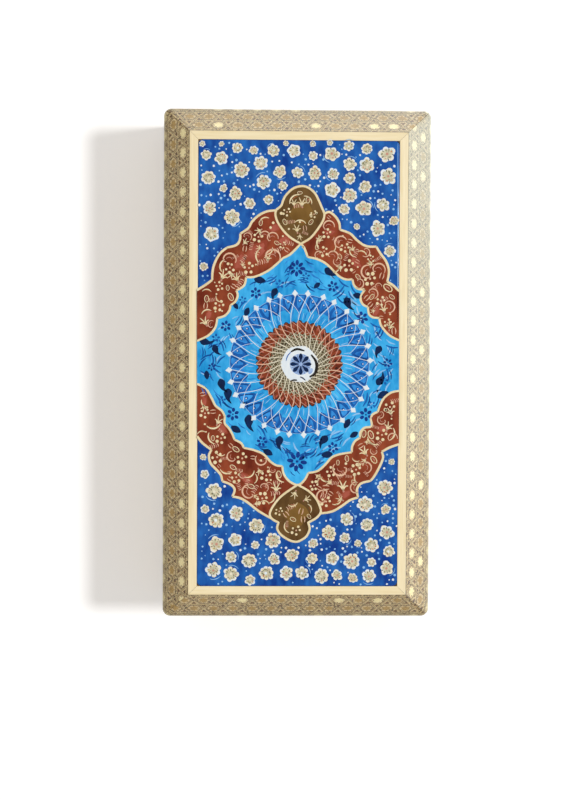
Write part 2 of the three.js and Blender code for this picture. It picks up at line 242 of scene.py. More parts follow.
class Group(Wiring):
    """The wiring of a node group with named inputs and outputs."""

    def __init__(self, name: str, kind: str, takes: Sockets, gives: Sockets) -> None:
        """Starts the group.

        Args:
            name: The group's name.
            kind: The type of its tree.
            takes: The names of its inputs, by their kind.
            gives: The names of its outputs.
        """
        super().__init__(bpy.data.node_groups.new(name, kind))
        for way, sockets in (("INPUT", takes), ("OUTPUT", gives)):
            for socket, labels in sockets.items():
                for label in labels:
                    self.tree.interface.new_socket(name=label, in_out=way, socket_type=socket.value)
        self.got = self.add("NodeGroupInput").outputs
        self.out = self.add("NodeGroupOutput").inputs

    def give(self, **values: object) -> NodeTree:
        """Feeds the group's outputs.

        Args:
            **values: What goes into them, by name.

        Returns:
            The group's tree.
        """
        for name, value in values.items():
            self.feed(self.out[name], value)
        return self.tree


COLOUR_AND_RELIEF: Sockets = {Socket.COLOUR: ["Colour"], Socket.NUMBER: ["Relief"]}


@cache
def brushwork() -> NodeTree:
    """Two close colours laid unevenly in strokes, with a slight relief. Its Vector is in millimetres.

    Returns:
        The group's tree.
    """
    takes = {
        Socket.VECTOR: ["Vector"],
        Socket.COLOUR: ["Main", "Other"],
        Socket.NUMBER: ["Stroke", "Amount"],
    }
    w = Group("Brushwork", "ShaderNodeTree", takes, COLOUR_AND_RELIEF)
    stroke = w.noise(w.vector("MULTIPLY", w.got["Vector"], (0.45, 1.0, 1.0)), w.got["Stroke"], 4.0)
    cloud = w.noise(w.got["Vector"], w.times(w.got["Stroke"], 0.23), 2.0)
    both = w.plus(w.times(stroke, 0.45), w.times(cloud, 0.55))
    share = w.times(w.ramp(both, 0.36, 0.64), w.got["Amount"])
    return w.give(Colour=w.mix(share, w.got["Main"], w.got["Other"]), Relief=stroke)


@cache
def grain() -> NodeTree:
    """Long fibres along X of its Vector, which is in millimetres, with broad growth bands across them.

    Returns:
        The group's tree.
    """
    takes = {
        Socket.VECTOR: ["Vector"],
        Socket.COLOUR: ["Light", "Dark"],
        Socket.NUMBER: ["Fibre", "Band", "Contrast"],
    }
    w = Group("Grain", "ShaderNodeTree", takes, COLOUR_AND_RELIEF)
    place = w.got["Vector"]
    fibres = w.noise(w.vector("MULTIPLY", place, (0.06, 1.0, 1.0)), w.got["Fibre"], 3.0)
    sway = w.noise(w.vector("MULTIPLY", place, (0.02, 0.08, 0.08)), 1.0, 1.0)
    moved = w.vector("ADD", place, w.vector("SCALE", (0.0, 9.0, 6.3), sway))
    bands = w.noise(w.vector("MULTIPLY", moved, (0.01, 1.0, 1.0)), w.got["Band"], 2.0)
    both = w.plus(w.times(fibres, 0.5), w.times(bands, 0.5))
    share = w.times(w.ramp(both, 0.36, 0.64), w.got["Contrast"])
    return w.give(Colour=w.mix(share, w.got["Light"], w.got["Dark"]), Relief=fibres)


@cache
def lacquer() -> NodeTree:
    """The normal of a hand-laid lacquer: a low swell over the relief of what lies below it.

    Returns:
        The group's tree.
    """
    takes = {Socket.VECTOR: ["Vector"], Socket.NUMBER: ["Relief", "Swell", "Show Through"]}
    w = Group("Lacquer", "ShaderNodeTree", takes, {Socket.VECTOR: ["Normal"]})
    swell = w.times(w.noise(w.got["Vector"], 0.16, 1.0), w.got["Swell"])
    return w.give(Normal=w.bump(w.plus(swell, w.times(w.got["Relief"], w.got["Show Through"])), MM))


@cache
def tessera() -> NodeTree:
    """The colour of one little stick in the marquetry, with the dark glue line round it.

    Painted shade greys the lid's arris, and a painted sheen pales the faces towards the lamp-side front.

    Returns:
        The group's tree.
    """
    takes = {Socket.COLOUR: ["Light", "Dark", "Glue"], Socket.NUMBER: ["Glue Line"]}
    w = Group("Tessera", "ShaderNodeTree", takes, {Socket.COLOUR: ["Colour"], Socket.NUMBER: ["Inside"]})
    tint, star = (w.add("ShaderNodeAttribute", attribute_name=n).outputs["Fac"] for n in ("tint", "star"))
    wood = w.mix(w.plus(w.times(tint, 0.8), w.times(star, 0.2)), w.got["Light"], w.got["Dark"])
    spot = w.parts(w.millimetres())
    inset_x = w.minus(LENGTH / 2, w.math("ABSOLUTE", spot["X"]))
    inset_y = w.minus(WIDTH / 2, w.math("ABSOLUTE", spot["Y"]))
    edge_near = w.ramp(w.times(w.math("MINIMUM", inset_x, inset_y), -1.0), -2.6, -0.6)
    # Painted shade: the lid's arris and the top of its skirt are greyed and darkened towards 8e8058.
    painted_arris_shade = w.times(edge_near, w.ramp(spot["Z"], 47.0, 51.0))
    wood = w.mix(w.times(painted_arris_shade, 0.5), wood, colour_of("8e8058"))
    # Painted sheen: faces towards the front, the lamp's side, are paled, more so towards the box's right end.
    to_front = w.ramp(w.times(w.parts(w.on_object("Normal"))["Y"], -1.0), 0.3, 0.6)
    painted_front_sheen = w.times(to_front, w.ramp(spot["X"], -60.0, 70.0))
    wood = w.mix(w.times(painted_front_sheen, 0.42), wood, colour_of("d2d6c2"))
    corner = w.parts(w.add("ShaderNodeUVMap", uv_map="stick").outputs[0])
    third = w.minus(w.minus(1.0, corner[0]), corner[1])
    edge = w.math("MINIMUM", w.math("MINIMUM", corner[0], corner[1]), third)
    inside = w.math("SMOOTH_MAX", w.math("DIVIDE", edge, w.got["Glue Line"]), 0.0, 0.05)
    inside = w.math("MINIMUM", inside, 1.0)
    return w.give(Colour=w.mix(inside, w.got["Glue"], wood), Inside=inside)


def fresh_wiring(owner: Material | World) -> Wiring:
    """Empties the nodes of a material or a surround.

    Args:
        owner: What the nodes belong to.

    Returns:
        Their wiring.
    """
    owner.use_nodes = True
    owner.node_tree.nodes.clear()
    return Wiring(owner.node_tree)


def new_material(name: str, **uniform: float) -> tuple[Material, Wiring, Node]:
    """Starts a material with one Principled shader.

    Args:
        name: The material's name.
        **uniform: Values that are the same all over, by the shader's socket, with an underscore for a space.

    Returns:
        The material, its wiring and the shader.
    """
    material = bpy.data.materials.new(name)
    w = fresh_wiring(material)
    shader = w.add("ShaderNodeBsdfPrincipled")
    for label, value in uniform.items():
        shader.inputs[label.replace("_", " ")].default_value = value
    w.add("ShaderNodeOutputMaterial", {"Surface": shader.outputs[0]})
    return material, w, shader


@dataclass(frozen=True)
class StickFinish:
    """One kind of marquetry stick under the lacquer."""

    name: str
    light: str
    dark: str
    glue: str = "5a482c"
    glue_line: float = 0.035
    metal: float = 0.0
    rough: float = 0.45

    def material(self) -> Material:
        """Builds the finish, with its colours, its sheen under the lacquer and its glue lines.

        Returns:
            The material.
        """
        coat = {"Coat_Weight": 0.6, "Coat_Roughness": 0.12}
        material, w, shader = new_material(self.name, Metallic=self.metal, Specular_IOR_Level=0.1, **coat)
        light, dark, glue = (colour_of(code) for code in (self.light, self.dark, self.glue))
        stick = w.group(tessera(), Light=light, Dark=dark, Glue=glue, Glue_Line=self.glue_line)
        place = w.millimetres()
        inside = stick.outputs["Inside"]
        w.lacquered(shader, place, inside, 0.12, 0.004)
        if self.metal:
            w.feed(shader.inputs["Metallic"], w.times(inside, self.metal))
        w.feed(shader.inputs["Roughness"], w.plus(w.times(w.noise(place, 2.2), 0.18), self.rough - 0.09))
        w.feed(shader.inputs["Base Color"], stick.outputs["Colour"])
        return material


class Stick(Enum):
    """The sticks of the star pattern, by the place each has in it."""

    STAR = StickFinish("brass_sticks", "fbecb4", "eed892", glue="c4aa70", metal=0.1, rough=0.36)
    OLD_STAR = StickFinish("orange_wood_sticks", "c6a054", "9a7838")
    HALO = StickFinish("brown_wood_sticks", "88683a", "4c3a1c")
    NIGHT = StickFinish("ebony_sticks", "80561e", "3c280a")
    LEAF = StickFinish("green_bone_sticks", "9c8a52", "64582c")
    BONE = StickFinish("bone_sticks", "ead6a2", "be9e66")
    TAN = StickFinish("pale_wood_sticks", "d8b67a", "8e6c38")


@dataclass(frozen=True)
class Grained:
    """A wood or bone with fibres along one axis."""

    name: str
    light: str
    dark: str
    fibre: float
    band: float
    contrast: float
    rough: float
    coat: float = 0.0
    relief: float = 0.02
    along: str = "X"

    def material(self) -> Material:
        """Builds the finish with its fibres along the axis that the piece runs in.

        Returns:
            The material.
        """
        name = f"{self.name}_{self.along.lower()}"
        material, w, shader = new_material(name, Coat_Weight=self.coat, Coat_Roughness=0.15)
        turned = {"X": (0.0, 0.0, 0.0), "Y": (0.0, 0.0, math.pi / 2)}[self.along]
        place = w.add("ShaderNodeMapping", {"Vector": w.millimetres(), "Rotation": turned}).outputs[0]
        light, dark = colour_of(self.light), colour_of(self.dark)
        sizes = {"Fibre": self.fibre, "Band": self.band, "Contrast": self.contrast}
        fibres = w.group(grain(), Vector=place, Light=light, Dark=dark, **sizes)
        relief = fibres.outputs["Relief"]
        w.lacquered(shader, place, relief, 0.1, self.relief)
        w.feed(shader.inputs["Roughness"], w.plus(w.times(relief, 0.2), self.rough - 0.1))
        w.feed(shader.inputs["Base Color"], fibres.outputs["Colour"])
        return material


@dataclass(frozen=True)
class Nap:
    """Velvet or felt: a short pile that is brushed this way and that."""

    name: str
    deep: str
    raised: str
    sheen: float
    pile: float
    relief: float

    def material(self) -> Material:
        """Builds the finish with its patches of turned pile and its fine tufts.

        Returns:
            The material.
        """
        uniform = {"Roughness": 0.92, "Sheen_Weight": self.sheen, "Sheen_Roughness": 0.35}
        material, w, shader = new_material(self.name, Specular_IOR_Level=0.2, **uniform)
        shader.inputs["Sheen Tint"].default_value = colour_of(self.raised)
        place = w.millimetres()
        brushed = w.brushed(place, (self.deep, self.raised), 0.22, 0.55).outputs[0]
        tufts = w.noise(place, self.pile, 2.0)
        w.feed(shader.inputs["Base Color"], w.mix(w.ramp(tufts, 0.3, 0.75), colour_of(self.deep), brushed))
        w.feed(shader.inputs["Normal"], w.bump(tufts, self.relief * MM))
        return material


@dataclass(frozen=True)
class CastMetal:
    """Brass of the hinges, polished long ago."""

    name: str
    bright: str
    tarnished: str

    def material(self) -> Material:
        """Builds the metal, with fine rubbing marks and patches of tarnish.

        Returns:
            The material.
        """
        material, w, shader = new_material(self.name, Metallic=1.0)
        place = w.millimetres()
        worn = w.brushed(place, (self.bright, self.tarnished), 0.8, 0.8)
        rubbed = w.noise(w.vector("MULTIPLY", place, (0.3, 6.0, 6.0)), 2.0, 2.0)
        w.feed(shader.inputs["Base Color"], worn.outputs["Colour"])
        w.feed(shader.inputs["Roughness"], w.plus(w.times(rubbed, 0.25), 0.18))
        w.feed(shader.inputs["Normal"], w.bump(rubbed, 0.02 * MM, 0.4))
        return material


@dataclass(frozen=True)
class PaintFinish:
    """One colour of the painter's palette, under a clear lacquer."""

    name: str
    main: str
    other: str
    stroke: float = 0.9
    amount: float = 0.8

    def material(self) -> Material:
        """Builds the paint with its brush strokes and the lacquer over it.

        Returns:
            The material.
        """
        coat = {"Coat_Weight": 0.2, "Coat_Roughness": 0.05, "Coat_IOR": 1.4}
        material, w, shader = new_material(self.name, Roughness=0.5, Specular_IOR_Level=0.04, **coat)
        place = w.millimetres()
        brushed = w.brushed(place, (self.main, self.other), self.stroke, self.amount)
        w.lacquered(shader, place, brushed.outputs["Relief"], 0.05, 0.004)
        w.feed(shader.inputs["Base Color"], brushed.outputs["Colour"])
        return material


class Paint(Enum):
    """The painter's palette."""

    COBALT = PaintFinish("cobalt_paint", "033788", "246ab8", 0.45, 1.0)
    TURQUOISE = PaintFinish("turquoise_paint", "1089cc", "48baf2", 0.5, 1.0)
    RING = PaintFinish("ring_paint", "0f60b2", "3e9ee8", 0.8, 1.0)
    SAPPHIRE = PaintFinish("sapphire_paint", "04478f", "1a68ba", 0.9)
    NAVY = PaintFinish("navy_paint", "00163a", "042a5a")
    INDIGO = PaintFinish("indigo_paint", "052a72", "0c4296")
    BRICK = PaintFinish("brick_paint", "66200c", "9a482a", 0.35, 1.0)
    CLAY = PaintFinish("clay_paint", "8a3824", "a04e38", 0.5)
    ROSE = PaintFinish("rose_paint", "9c4836", "b66250", 0.6)
    ORANGE = PaintFinish("orange_paint", "b8552a", "cc7c4c")
    UMBER = PaintFinish("umber_paint", "4f3414", "74562e", 0.35, 1.0)
    AMBER = PaintFinish("amber_paint", "6c4c1e", "84622e", 0.5)
    MOSS = PaintFinish("moss_paint", "3e3524", "6a5a40", 1.2, 1.0)
    SOOT = PaintFinish("soot_paint", "17130e", "2c241a")
    CREAM = PaintFinish("cream_paint", "ecdcb4", "ddc796", 1.4)
    BLUSH = PaintFinish("blush_paint", "e8c4a4", "d8a486", 1.4)
    MILK = PaintFinish("milk_paint", "f0e8d2", "ddd2b6", 1.6)
    WHITE = PaintFinish("white_paint", "e8ecec", "d4dfe8")
    SHELL = PaintFinish("shell_paint", "ded6b8", "b2ac8e", 1.8, 1.0)
    OCHRE = PaintFinish("ochre_paint", "c0a564", "ab8d4c")
    OLIVE = PaintFinish("olive_paint", "7c7e60", "5a5e44")
    PINK = PaintFinish("pink_paint", "cf9c86", "bd7f6e")
    SKY = PaintFinish("sky_paint", "7db4e2", "a4cdf0")
    HAZE = PaintFinish("haze_paint", "b2c6e4", "88a4d4", 1.6, 1.0)


def placed(name: str, data: object) -> Object:
    """Puts a new object into the scene.

    Args:
        name: Its name.
        data: Its mesh, camera or lamp.

    Returns:
        The object.
    """
    made = bpy.data.objects.new(name, data)
    bpy.context.scene.collection.objects.link(made)
    return made


def dress(node: Object, material: Material) -> None:
    """Gives a solid that stays one material all over.

    Args:
        node: The solid.
        material: The material.
    """
    for slot in node.material_slots:
        slot.link = "OBJECT"
        slot.material = material


def finished_object(name: str, mesh: Mesh, body: str, replaced: Sequence[str] = ()) -> Object:
    """Puts a finished mesh into the scene and ties it to the box.

    Args:
        name: The piece's name.
        mesh: Its mesh, in metres and in place.
        body: The part of the box that it moves with.
        replaced: The solids that it stands for.

    Returns:
        The new object.
    """
    mesh.name = name
    piece = placed(name, mesh)
    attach(piece, body)
    if replaced:
        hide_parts(*replaced)
    log.info("%s: %d faces, rides on %s", name, len(mesh.polygons), body)
    return piece


def set_by_number(w: Wiring, shape: object, name: str, materials: Sequence[Material]) -> object:
    """Ends a tree: each face takes the material that its whole number names.

    Args:
        w: The wiring of the tree.
        shape: The geometry to dress.
        name: The attribute that holds the number.
        materials: The materials, in the order of the numbers.

    Returns:
        The dressed geometry.
    """
    number = w.attribute(name, "INT")
    for index, material in enumerate(materials):
        values = {"A": number, "B": index}
        chosen = w.add("FunctionNodeCompare", values, data_type="INT", operation="EQUAL").outputs[0]
        values = {"Geometry": shape, "Selection": chosen, "Material": material}
        shape = w.add("GeometryNodeSetMaterial", values).outputs[0]
    return shape


def grown(source: Object, tree: NodeTree, **inputs: object) -> Mesh:
    """Runs a tree on an object and keeps the result as a plain mesh.

    Args:
        source: The object that carries what the tree starts from. It is removed.
        tree: The Geometry Nodes tree.
        **inputs: The tree's inputs by name, where an underscore stands for a space.

    Returns:
        The mesh that the tree makes.
    """
    modifier = source.modifiers.new("growth", "NODES")
    modifier.node_group = tree
    known = {s.name: s.identifier for s in tree.interface.items_tree if s.in_out == "INPUT"}
    for name, value in inputs.items():
        modifier[known[name.replace("_", " ")]] = value
    bpy.context.view_layer.update()
    seen = source.evaluated_get(bpy.context.evaluated_depsgraph_get())
    mesh = bpy.data.meshes.new_from_object(seen)
    source.modifiers.remove(modifier)
    bpy.data.objects.remove(source)
    return mesh


@dataclass(frozen=True)
class StarTile:
    """One repeat of the marquetry: a slanted square of twelve by twelve little rhombi, two sticks in each."""

    unit: float = 0.6295
    across: int = 12

    def stick_at(self, x: float, y: float, upward: bool) -> Stick:
        """Finds which stick lies at a place, measured in units from a star's centre.

        Args:
            x: Along the border.
            y: Across the border.
            upward: Whether the stick points up the border.

        Returns:
            The stick.
        """
        near_ones = [(i, j) for i in (-1, 0, 1, 2) for j in (-1, 0, 1, 2)]
        centres = [(self.across * (i + j / 2), self.across * j * ROW) for i, j in near_ones]
        cx, cy = min(centres, key=lambda c: (x - c[0]) ** 2 + (y - c[1]) ** 2)
        dx, dy = x - cx, y - cy
        reach = math.hypot(dx, dy) / ROW
        aside = abs(math.degrees(math.atan2(dy, dx)) % 60 - 30)
        flat = reach * math.cos(math.radians(aside))
        near = reach * math.cos(math.radians(60 - aside))
        if near < 2:
            return Stick.STAR
        if reach < 4.35:
            return Stick.BONE
        if flat < 5:
            return Stick.HALO if upward else Stick.TAN
        if flat < 6:
            return Stick.LEAF if upward else Stick.BONE
        if flat > 7:
            return Stick.NIGHT
        return Stick.BONE if upward else Stick.TAN

    def mesh(self) -> Mesh:
        """Builds the tile flat, with a star in its middle and each stick's number and corners.

        Returns:
            The tile, in millimetres.
        """
        points: list[tuple[float, float, float]] = []
        sticks: list[int] = []
        half = self.across // 2
        for i in range(-half, half):
            for j in range(-half, half):
                low = [(i, j), (i + 1, j), (i, j + 1)]
                high = [(i + 1, j), (i + 1, j + 1), (i, j + 1)]
                for corners in (low, high):
                    flat = [(a + b / 2, b * ROW) for a, b in corners]
                    points += [(x * self.unit, y * self.unit, 0.0) for x, y in flat]
                    middle = [sum(values) / 3 for values in zip(*flat)]
                    sticks.append(list(Stick).index(self.stick_at(*middle, corners is low)))
        faces = [(k, k + 1, k + 2) for k in range(0, len(points), 3)]
        mesh = bpy.data.meshes.new("star_tile")
        mesh.from_pydata(points, [], faces)
        mesh.attributes.new("stick_number", "INT", "FACE").data.foreach_set("value", sticks)
        places = mesh.uv_layers.new(name="stick")
        for loop in range(len(points)):
            places.uv[loop].vector = ((1.0, 0.0), (0.0, 1.0), (0.0, 0.0))[loop % 3]
        return mesh


class Marquetry:
    """Grows flat sheets of the star pattern."""

    tile = StarTile()

    def __init__(self) -> None:
        """Builds the materials and the tree that lays the tiles."""
        self.materials = [stick.value.material() for stick in Stick]
        self.tree = self.lattice_tree()

    def lattice_tree(self) -> NodeTree:
        """Builds the tree: tiles on a triangular lattice, with a tint for each star and each stick.

        The stars of every second row, the lid's inner row among them, are the first to be bright. A dull
        star takes the number after a bright one's, and a few of the pale sticks turn brown.

        Returns:
            The tree.
        """
        takes = {
            Socket.SHAPE: ["Tile"],
            Socket.NUMBER: ["Pitch", "First X", "First Y", "Half Length", "Depth", "Bright Stars"],
            Socket.WHOLE: ["Columns", "Rows", "Seed"],
        }
        w = Group("Star lattice", "GeometryNodeTree", takes, {Socket.SHAPE: ["Sheet"]})
        got = w.got
        step = w.times(got["Pitch"], ROW)
        grid = w.add("GeometryNodeMeshGrid", {"Vertices X": got["Columns"], "Vertices Y": got["Rows"]})
        index = w.add("GeometryNodeInputIndex").outputs[0]
        row = w.math("MODULO", index, got["Rows"])
        odd = w.math("MODULO", row, 2.0)
        column = w.math("FLOOR", w.math("DIVIDE", index, got["Rows"]))
        across = w.plus(got["First X"], w.times(w.plus(column, w.times(odd, 0.5)), got["Pitch"]))
        place = w.add("ShaderNodeCombineXYZ", {"X": across, "Y": w.minus(got["First Y"], w.times(row, step))})
        points = w.add("GeometryNodeSetPosition", {"Geometry": grid.outputs[0], "Position": place.outputs[0]})
        tiles = w.add("GeometryNodeInstanceOnPoints", {"Points": points.outputs[0], "Instance": got["Tile"]})
        luck = w.add("FunctionNodeRandomValue", {"Seed": got["Seed"]}, data_type="FLOAT").outputs[1]
        luck = w.times(w.minus(w.plus(luck, 1.0), odd), 0.5)
        named = w.store(tiles.outputs[0], "star", luck, domain="INSTANCE")
        real = w.add("GeometryNodeRealizeInstances", {"Geometry": named}).outputs[0]
        spot = w.parts(w.add("GeometryNodeInputPosition").outputs[0])
        past_end = w.math("GREATER_THAN", w.math("ABSOLUTE", spot["X"]), got["Half Length"])
        past_top = w.math("GREATER_THAN", spot["Y"], self.tile.unit)
        past_foot = w.math("LESS_THAN", spot["Y"], w.minus(-self.tile.unit, got["Depth"]))
        outside = w.math("MAXIMUM", w.math("MAXIMUM", past_end, past_top), past_foot)
        cut = w.add("GeometryNodeDeleteGeometry", {"Geometry": real, "Selection": outside}, domain="FACE")
        values = {"Geometry": cut.outputs[0], "Distance": 0.01}
        joined = w.add("GeometryNodeMergeByDistance", values).outputs[0]
        values = {"Seed": w.plus(got["Seed"], 7.0)}
        tint = w.add("FunctionNodeRandomValue", values, data_type="FLOAT").outputs[1]
        tinted = w.store(joined, "tint", tint)
        number = w.attribute("stick_number", "INT")
        dull = w.math("GREATER_THAN", w.attribute("star"), got["Bright Stars"])
        core = w.math("LESS_THAN", number, 0.5)
        stray = w.times(w.math("GREATER_THAN", number, 3.5), w.math("GREATER_THAN", tint, 0.88))
        number = w.plus(w.mix_number(stray, number, 2.0), w.times(dull, core))
        numbered = w.store(tinted, "stick_number", number, "INT")
        return w.give(Sheet=set_by_number(w, numbered, "stick_number", self.materials))

    def sheet(self, veneer: "Veneer") -> Mesh:
        """Grows one flat sheet. X runs along the border and Y up it, with its upper edge at 0.

        Args:
            veneer: The border that the sheet is for.

        Returns:
            The sheet's mesh, in millimetres.
        """
        half_length, depth = veneer.side.value[1] / 2, veneer.line.length
        pitch = self.tile.unit * self.tile.across
        rows = math.ceil(depth / (pitch * ROW)) + 3
        return grown(
            placed("star_sheet", self.tile.mesh()),
            self.tree,
            Pitch=pitch,
            Columns=math.ceil(2 * half_length / pitch) + rows + 2,
            Rows=rows,
            First_X=veneer.phase - pitch * (0.5 + math.ceil((half_length + pitch * rows / 2) / pitch)),
            First_Y=pitch * ROW - veneer.first_row,
            Half_Length=half_length + self.tile.unit,
            Depth=depth,
            Bright_Stars=veneer.bright,
            Seed=veneer.seed,
        )


class Side(Enum):
    """The four sides of the box, each with its span, the middle of its outer face and its turn."""

    FRONT = ("front", LENGTH, 0.0, -WIDTH / 2, 0.0)
    RIGHT = ("right", WIDTH, LENGTH / 2, 0.0, math.pi / 2)
    REAR = ("rear", LENGTH, 0.0, WIDTH / 2, math.pi)
    LEFT = ("left", WIDTH, -LENGTH / 2, 0.0, -math.pi / 2)

    def place(self, along: np.ndarray, inset: np.ndarray, height: np.ndarray) -> np.ndarray:
        """Turns places on this side into places on the box.

        Args:
            along: Distances along the side from its middle, to the right as seen from outside.
            inset: Distances inwards from the outer face.
            height: Heights above the underside.

        Returns:
            One row of X, Y and Z for each place, in millimetres.
        """
        _, _, x, y, turn = self.value
        cosine, sine = math.cos(turn), math.sin(turn)
        across = (x + along * cosine - inset * sine, y + along * sine + inset * cosine)
        return np.stack([*across, height + 0 * along], axis=1)


@dataclass(frozen=True)
class SideLine:
    """The outer line of a side, from its upper edge down: a bevel, a round arris and an upright face."""

    top_height: float
    top_inset: float
    foot: float
    slope: float = math.pi / 2
    arris_round: float = 4.0

    @property
    def bevel(self) -> float:
        """The bevel's length down its face, or 0 where the side is upright from its top."""
        return (self.top_inset - self.arris_round * (1 - math.sin(self.slope))) / math.cos(self.slope)

    @property
    def arc(self) -> float:
        """The length round the arris."""
        return self.arris_round * (math.pi / 2 - self.slope)

    @property
    def length(self) -> float:
        """The whole length of the line."""
        drop = self.bevel * math.sin(self.slope) + self.arris_round * math.cos(self.slope)
        return self.bevel + self.arc + self.top_height - drop - self.foot

    def at(self, down: np.ndarray) -> tuple[np.ndarray, np.ndarray, np.ndarray, np.ndarray]:
        """Follows the line.

        Args:
            down: Distances along the line from its upper edge.

        Returns:
            The inset, the height, the angle of the face from the level, and how far the corner's round
            has grown, from 0 at a bevel's top to 1.
        """
        on_bevel = np.clip(down, None, self.bevel)
        angle = self.slope + np.clip(down - self.bevel, 0, self.arc) / self.arris_round
        arris_in = self.arris_round * (np.sin(angle) - math.sin(self.slope))
        arris_down = self.arris_round * (math.cos(self.slope) - np.cos(angle))
        upright = np.clip(down - self.bevel - self.arc, 0, None)
        inset = self.top_inset - on_bevel * math.cos(self.slope) - arris_in
        height = self.top_height - on_bevel * math.sin(self.slope) - arris_down - upright
        return inset, height, angle, np.clip(down / self.bevel, 0, 1) if self.bevel else np.ones_like(down)


@dataclass
class Veneer:
    """A sheet of marquetry bent over one side and mitred at both ends."""

    name: str
    side: Side
    line: SideLine
    body: str
    replaced: tuple[str, ...]
    phase: float
    first_row: float
    bright: float = 0.7
    seed: int = 1
    thickness: float = 1.12
    corner: float = 3.0
    joint: float = 0.05
    chamfer_up: float = 0.0
    chamfer_down: float = 0.0
    chamfer_depth: float = 4.0
    round_shown: float = 1 - math.sqrt(0.5)

    @staticmethod
    def cut(bm: bmesh.types.BMesh, spot: Point, normal: Point, clear: bool) -> None:
        """Cuts the flat sheet along a line.

        Args:
            bm: The sheet.
            spot: A point of the line, along the border and up it.
            normal: The line's normal, which points at what goes.
            clear: Whether what lies past the line goes.
        """
        whole = bm.verts[:] + bm.edges[:] + bm.faces[:]
        plane = {"plane_co": (*spot, 0.0), "plane_no": (*normal, 0.0)}
        bmesh.ops.bisect_plane(bm, geom=whole, dist=1e-4, clear_outer=clear, **plane)

    def end_at(self, down: float) -> float:
        """Measures how far the outer face reaches from the side's middle, this far down the line."""
        inset, _, _, growth = self.line.at(np.array([down]))
        return self.side.value[1] / 2 - inset[0] - self.round_shown * self.corner * growth[0] - self.joint

    def trim(self, bm: bmesh.types.BMesh) -> None:
        """Cuts the sheet to its outline, and along the lines where it bends.

        Args:
            bm: The sheet.
        """
        line = self.line
        bevel, arc = line.bevel, line.arc
        self.cut(bm, (0, 0), (0, 1), True)
        self.cut(bm, (0, -line.length), (0, -1), True)
        stations = [0.0, bevel, bevel + arc / 2, bevel + arc, line.length] if bevel else [0.0, line.length]
        for top, foot in zip(stations, stations[1:], strict=False):
            rise = self.end_at(foot) - self.end_at(top)
            for end in (-1, 1):
                self.cut(bm, (end * self.end_at(top), -top), (end * (foot - top), rise), True)
        for bend in [bevel + arc * step / 5 for step in range(6)] if bevel else []:
            self.cut(bm, (0, -bend), (0, 1), False)
        for step in (0, 1, 2, 3):
            start = self.side.value[1] / 2 - self.corner * (1 - math.sin(math.radians(12 * step)))
            for end in (-1, 1):
                self.cut(bm, (end * start, 0), (end, 0), False)
        bmesh.ops.remove_doubles(bm, verts=bm.verts[:], dist=0.012)

    def bend(self, flat: np.ndarray, depth: float) -> np.ndarray:
        """Lays flat places on the side.

        Args:
            flat: One row of X and Y for each place on the sheet.
            depth: How far below the outer face they go.

        Returns:
            One row of X, Y and Z for each place, in millimetres.
        """
        along, down = flat[:, 0], -flat[:, 1]
        reach = self.side.value[1] / 2
        inset, height, angle, grown_round = self.line.at(down)
        near_top = np.clip(1 - down / self.chamfer_depth, 0, 1)
        near_foot = np.clip(1 - (self.line.length - down) / self.chamfer_depth, 0, 1)
        chamfer = self.chamfer_up * near_top - self.chamfer_down * near_foot
        if not depth:
            past = reach - inset - np.abs(along)
            sine = np.clip(math.sqrt(0.5) + self.round_shown * grown_round - past / self.corner, 0, 1)
            turned_in = grown_round * self.corner * (1 - np.sqrt(1 - sine**2))
            return self.side.place(along, inset + turned_in, height + chamfer * turned_in)
        inner = inset + depth * np.sin(angle)
        if self.line.bevel:
            slide = (inner - inset) * near_top
            inner = inner - slide
            height = height - slide * math.tan(self.line.slope)
        height = height - depth * np.cos(angle) + chamfer * depth
        mitre = self.round_shown * self.corner * grown_round
        along = along * (reach - inner - self.joint) / (reach - inset - mitre - self.joint)
        return self.side.place(along, inner, height)

    def build(self, marquetry: Marquetry) -> Object:
        """Grows, trims and bends the sheet, and gives it its thickness.

        Args:
            marquetry: What grows the flat sheet.

        Returns:
            The finished piece.
        """
        mesh = marquetry.sheet(self)
        bm = bmesh.new()
        bm.from_mesh(mesh)
        self.trim(bm)
        bm.verts.index_update()
        flat = np.array([v.co[:2] for v in bm.verts])
        front, back = self.bend(flat, 0.0), self.bend(flat, self.thickness)
        rim = [edge.link_loops[0] for edge in bm.edges if len(edge.link_faces) == 1]
        ends = [(loop.vert, loop.link_loop_next.vert, loop.face.material_index) for loop in rim]
        tops = list(bm.verts)
        twin = bmesh.ops.duplicate(bm, geom=bm.verts[:] + bm.edges[:] + bm.faces[:])
        faces = [item for item in twin["geom"] if isinstance(item, bmesh.types.BMFace)]
        bmesh.ops.reverse_faces(bm, faces=faces)
        below = twin["vert_map"]
        for a, b, number in ends:
            bm.faces.new((b, a, below[a], below[b])).material_index = number
        for vert, outer, inner in zip(tops, front, back, strict=True):
            below[vert].co = Vector(inner) * MM
            vert.co = Vector(outer) * MM
        bm.to_mesh(mesh)
        bm.free()
        mesh.shade_smooth()
        mesh.set_sharp_from_angle(angle=math.radians(28))
        return finished_object(self.name, mesh, self.body, self.replaced)


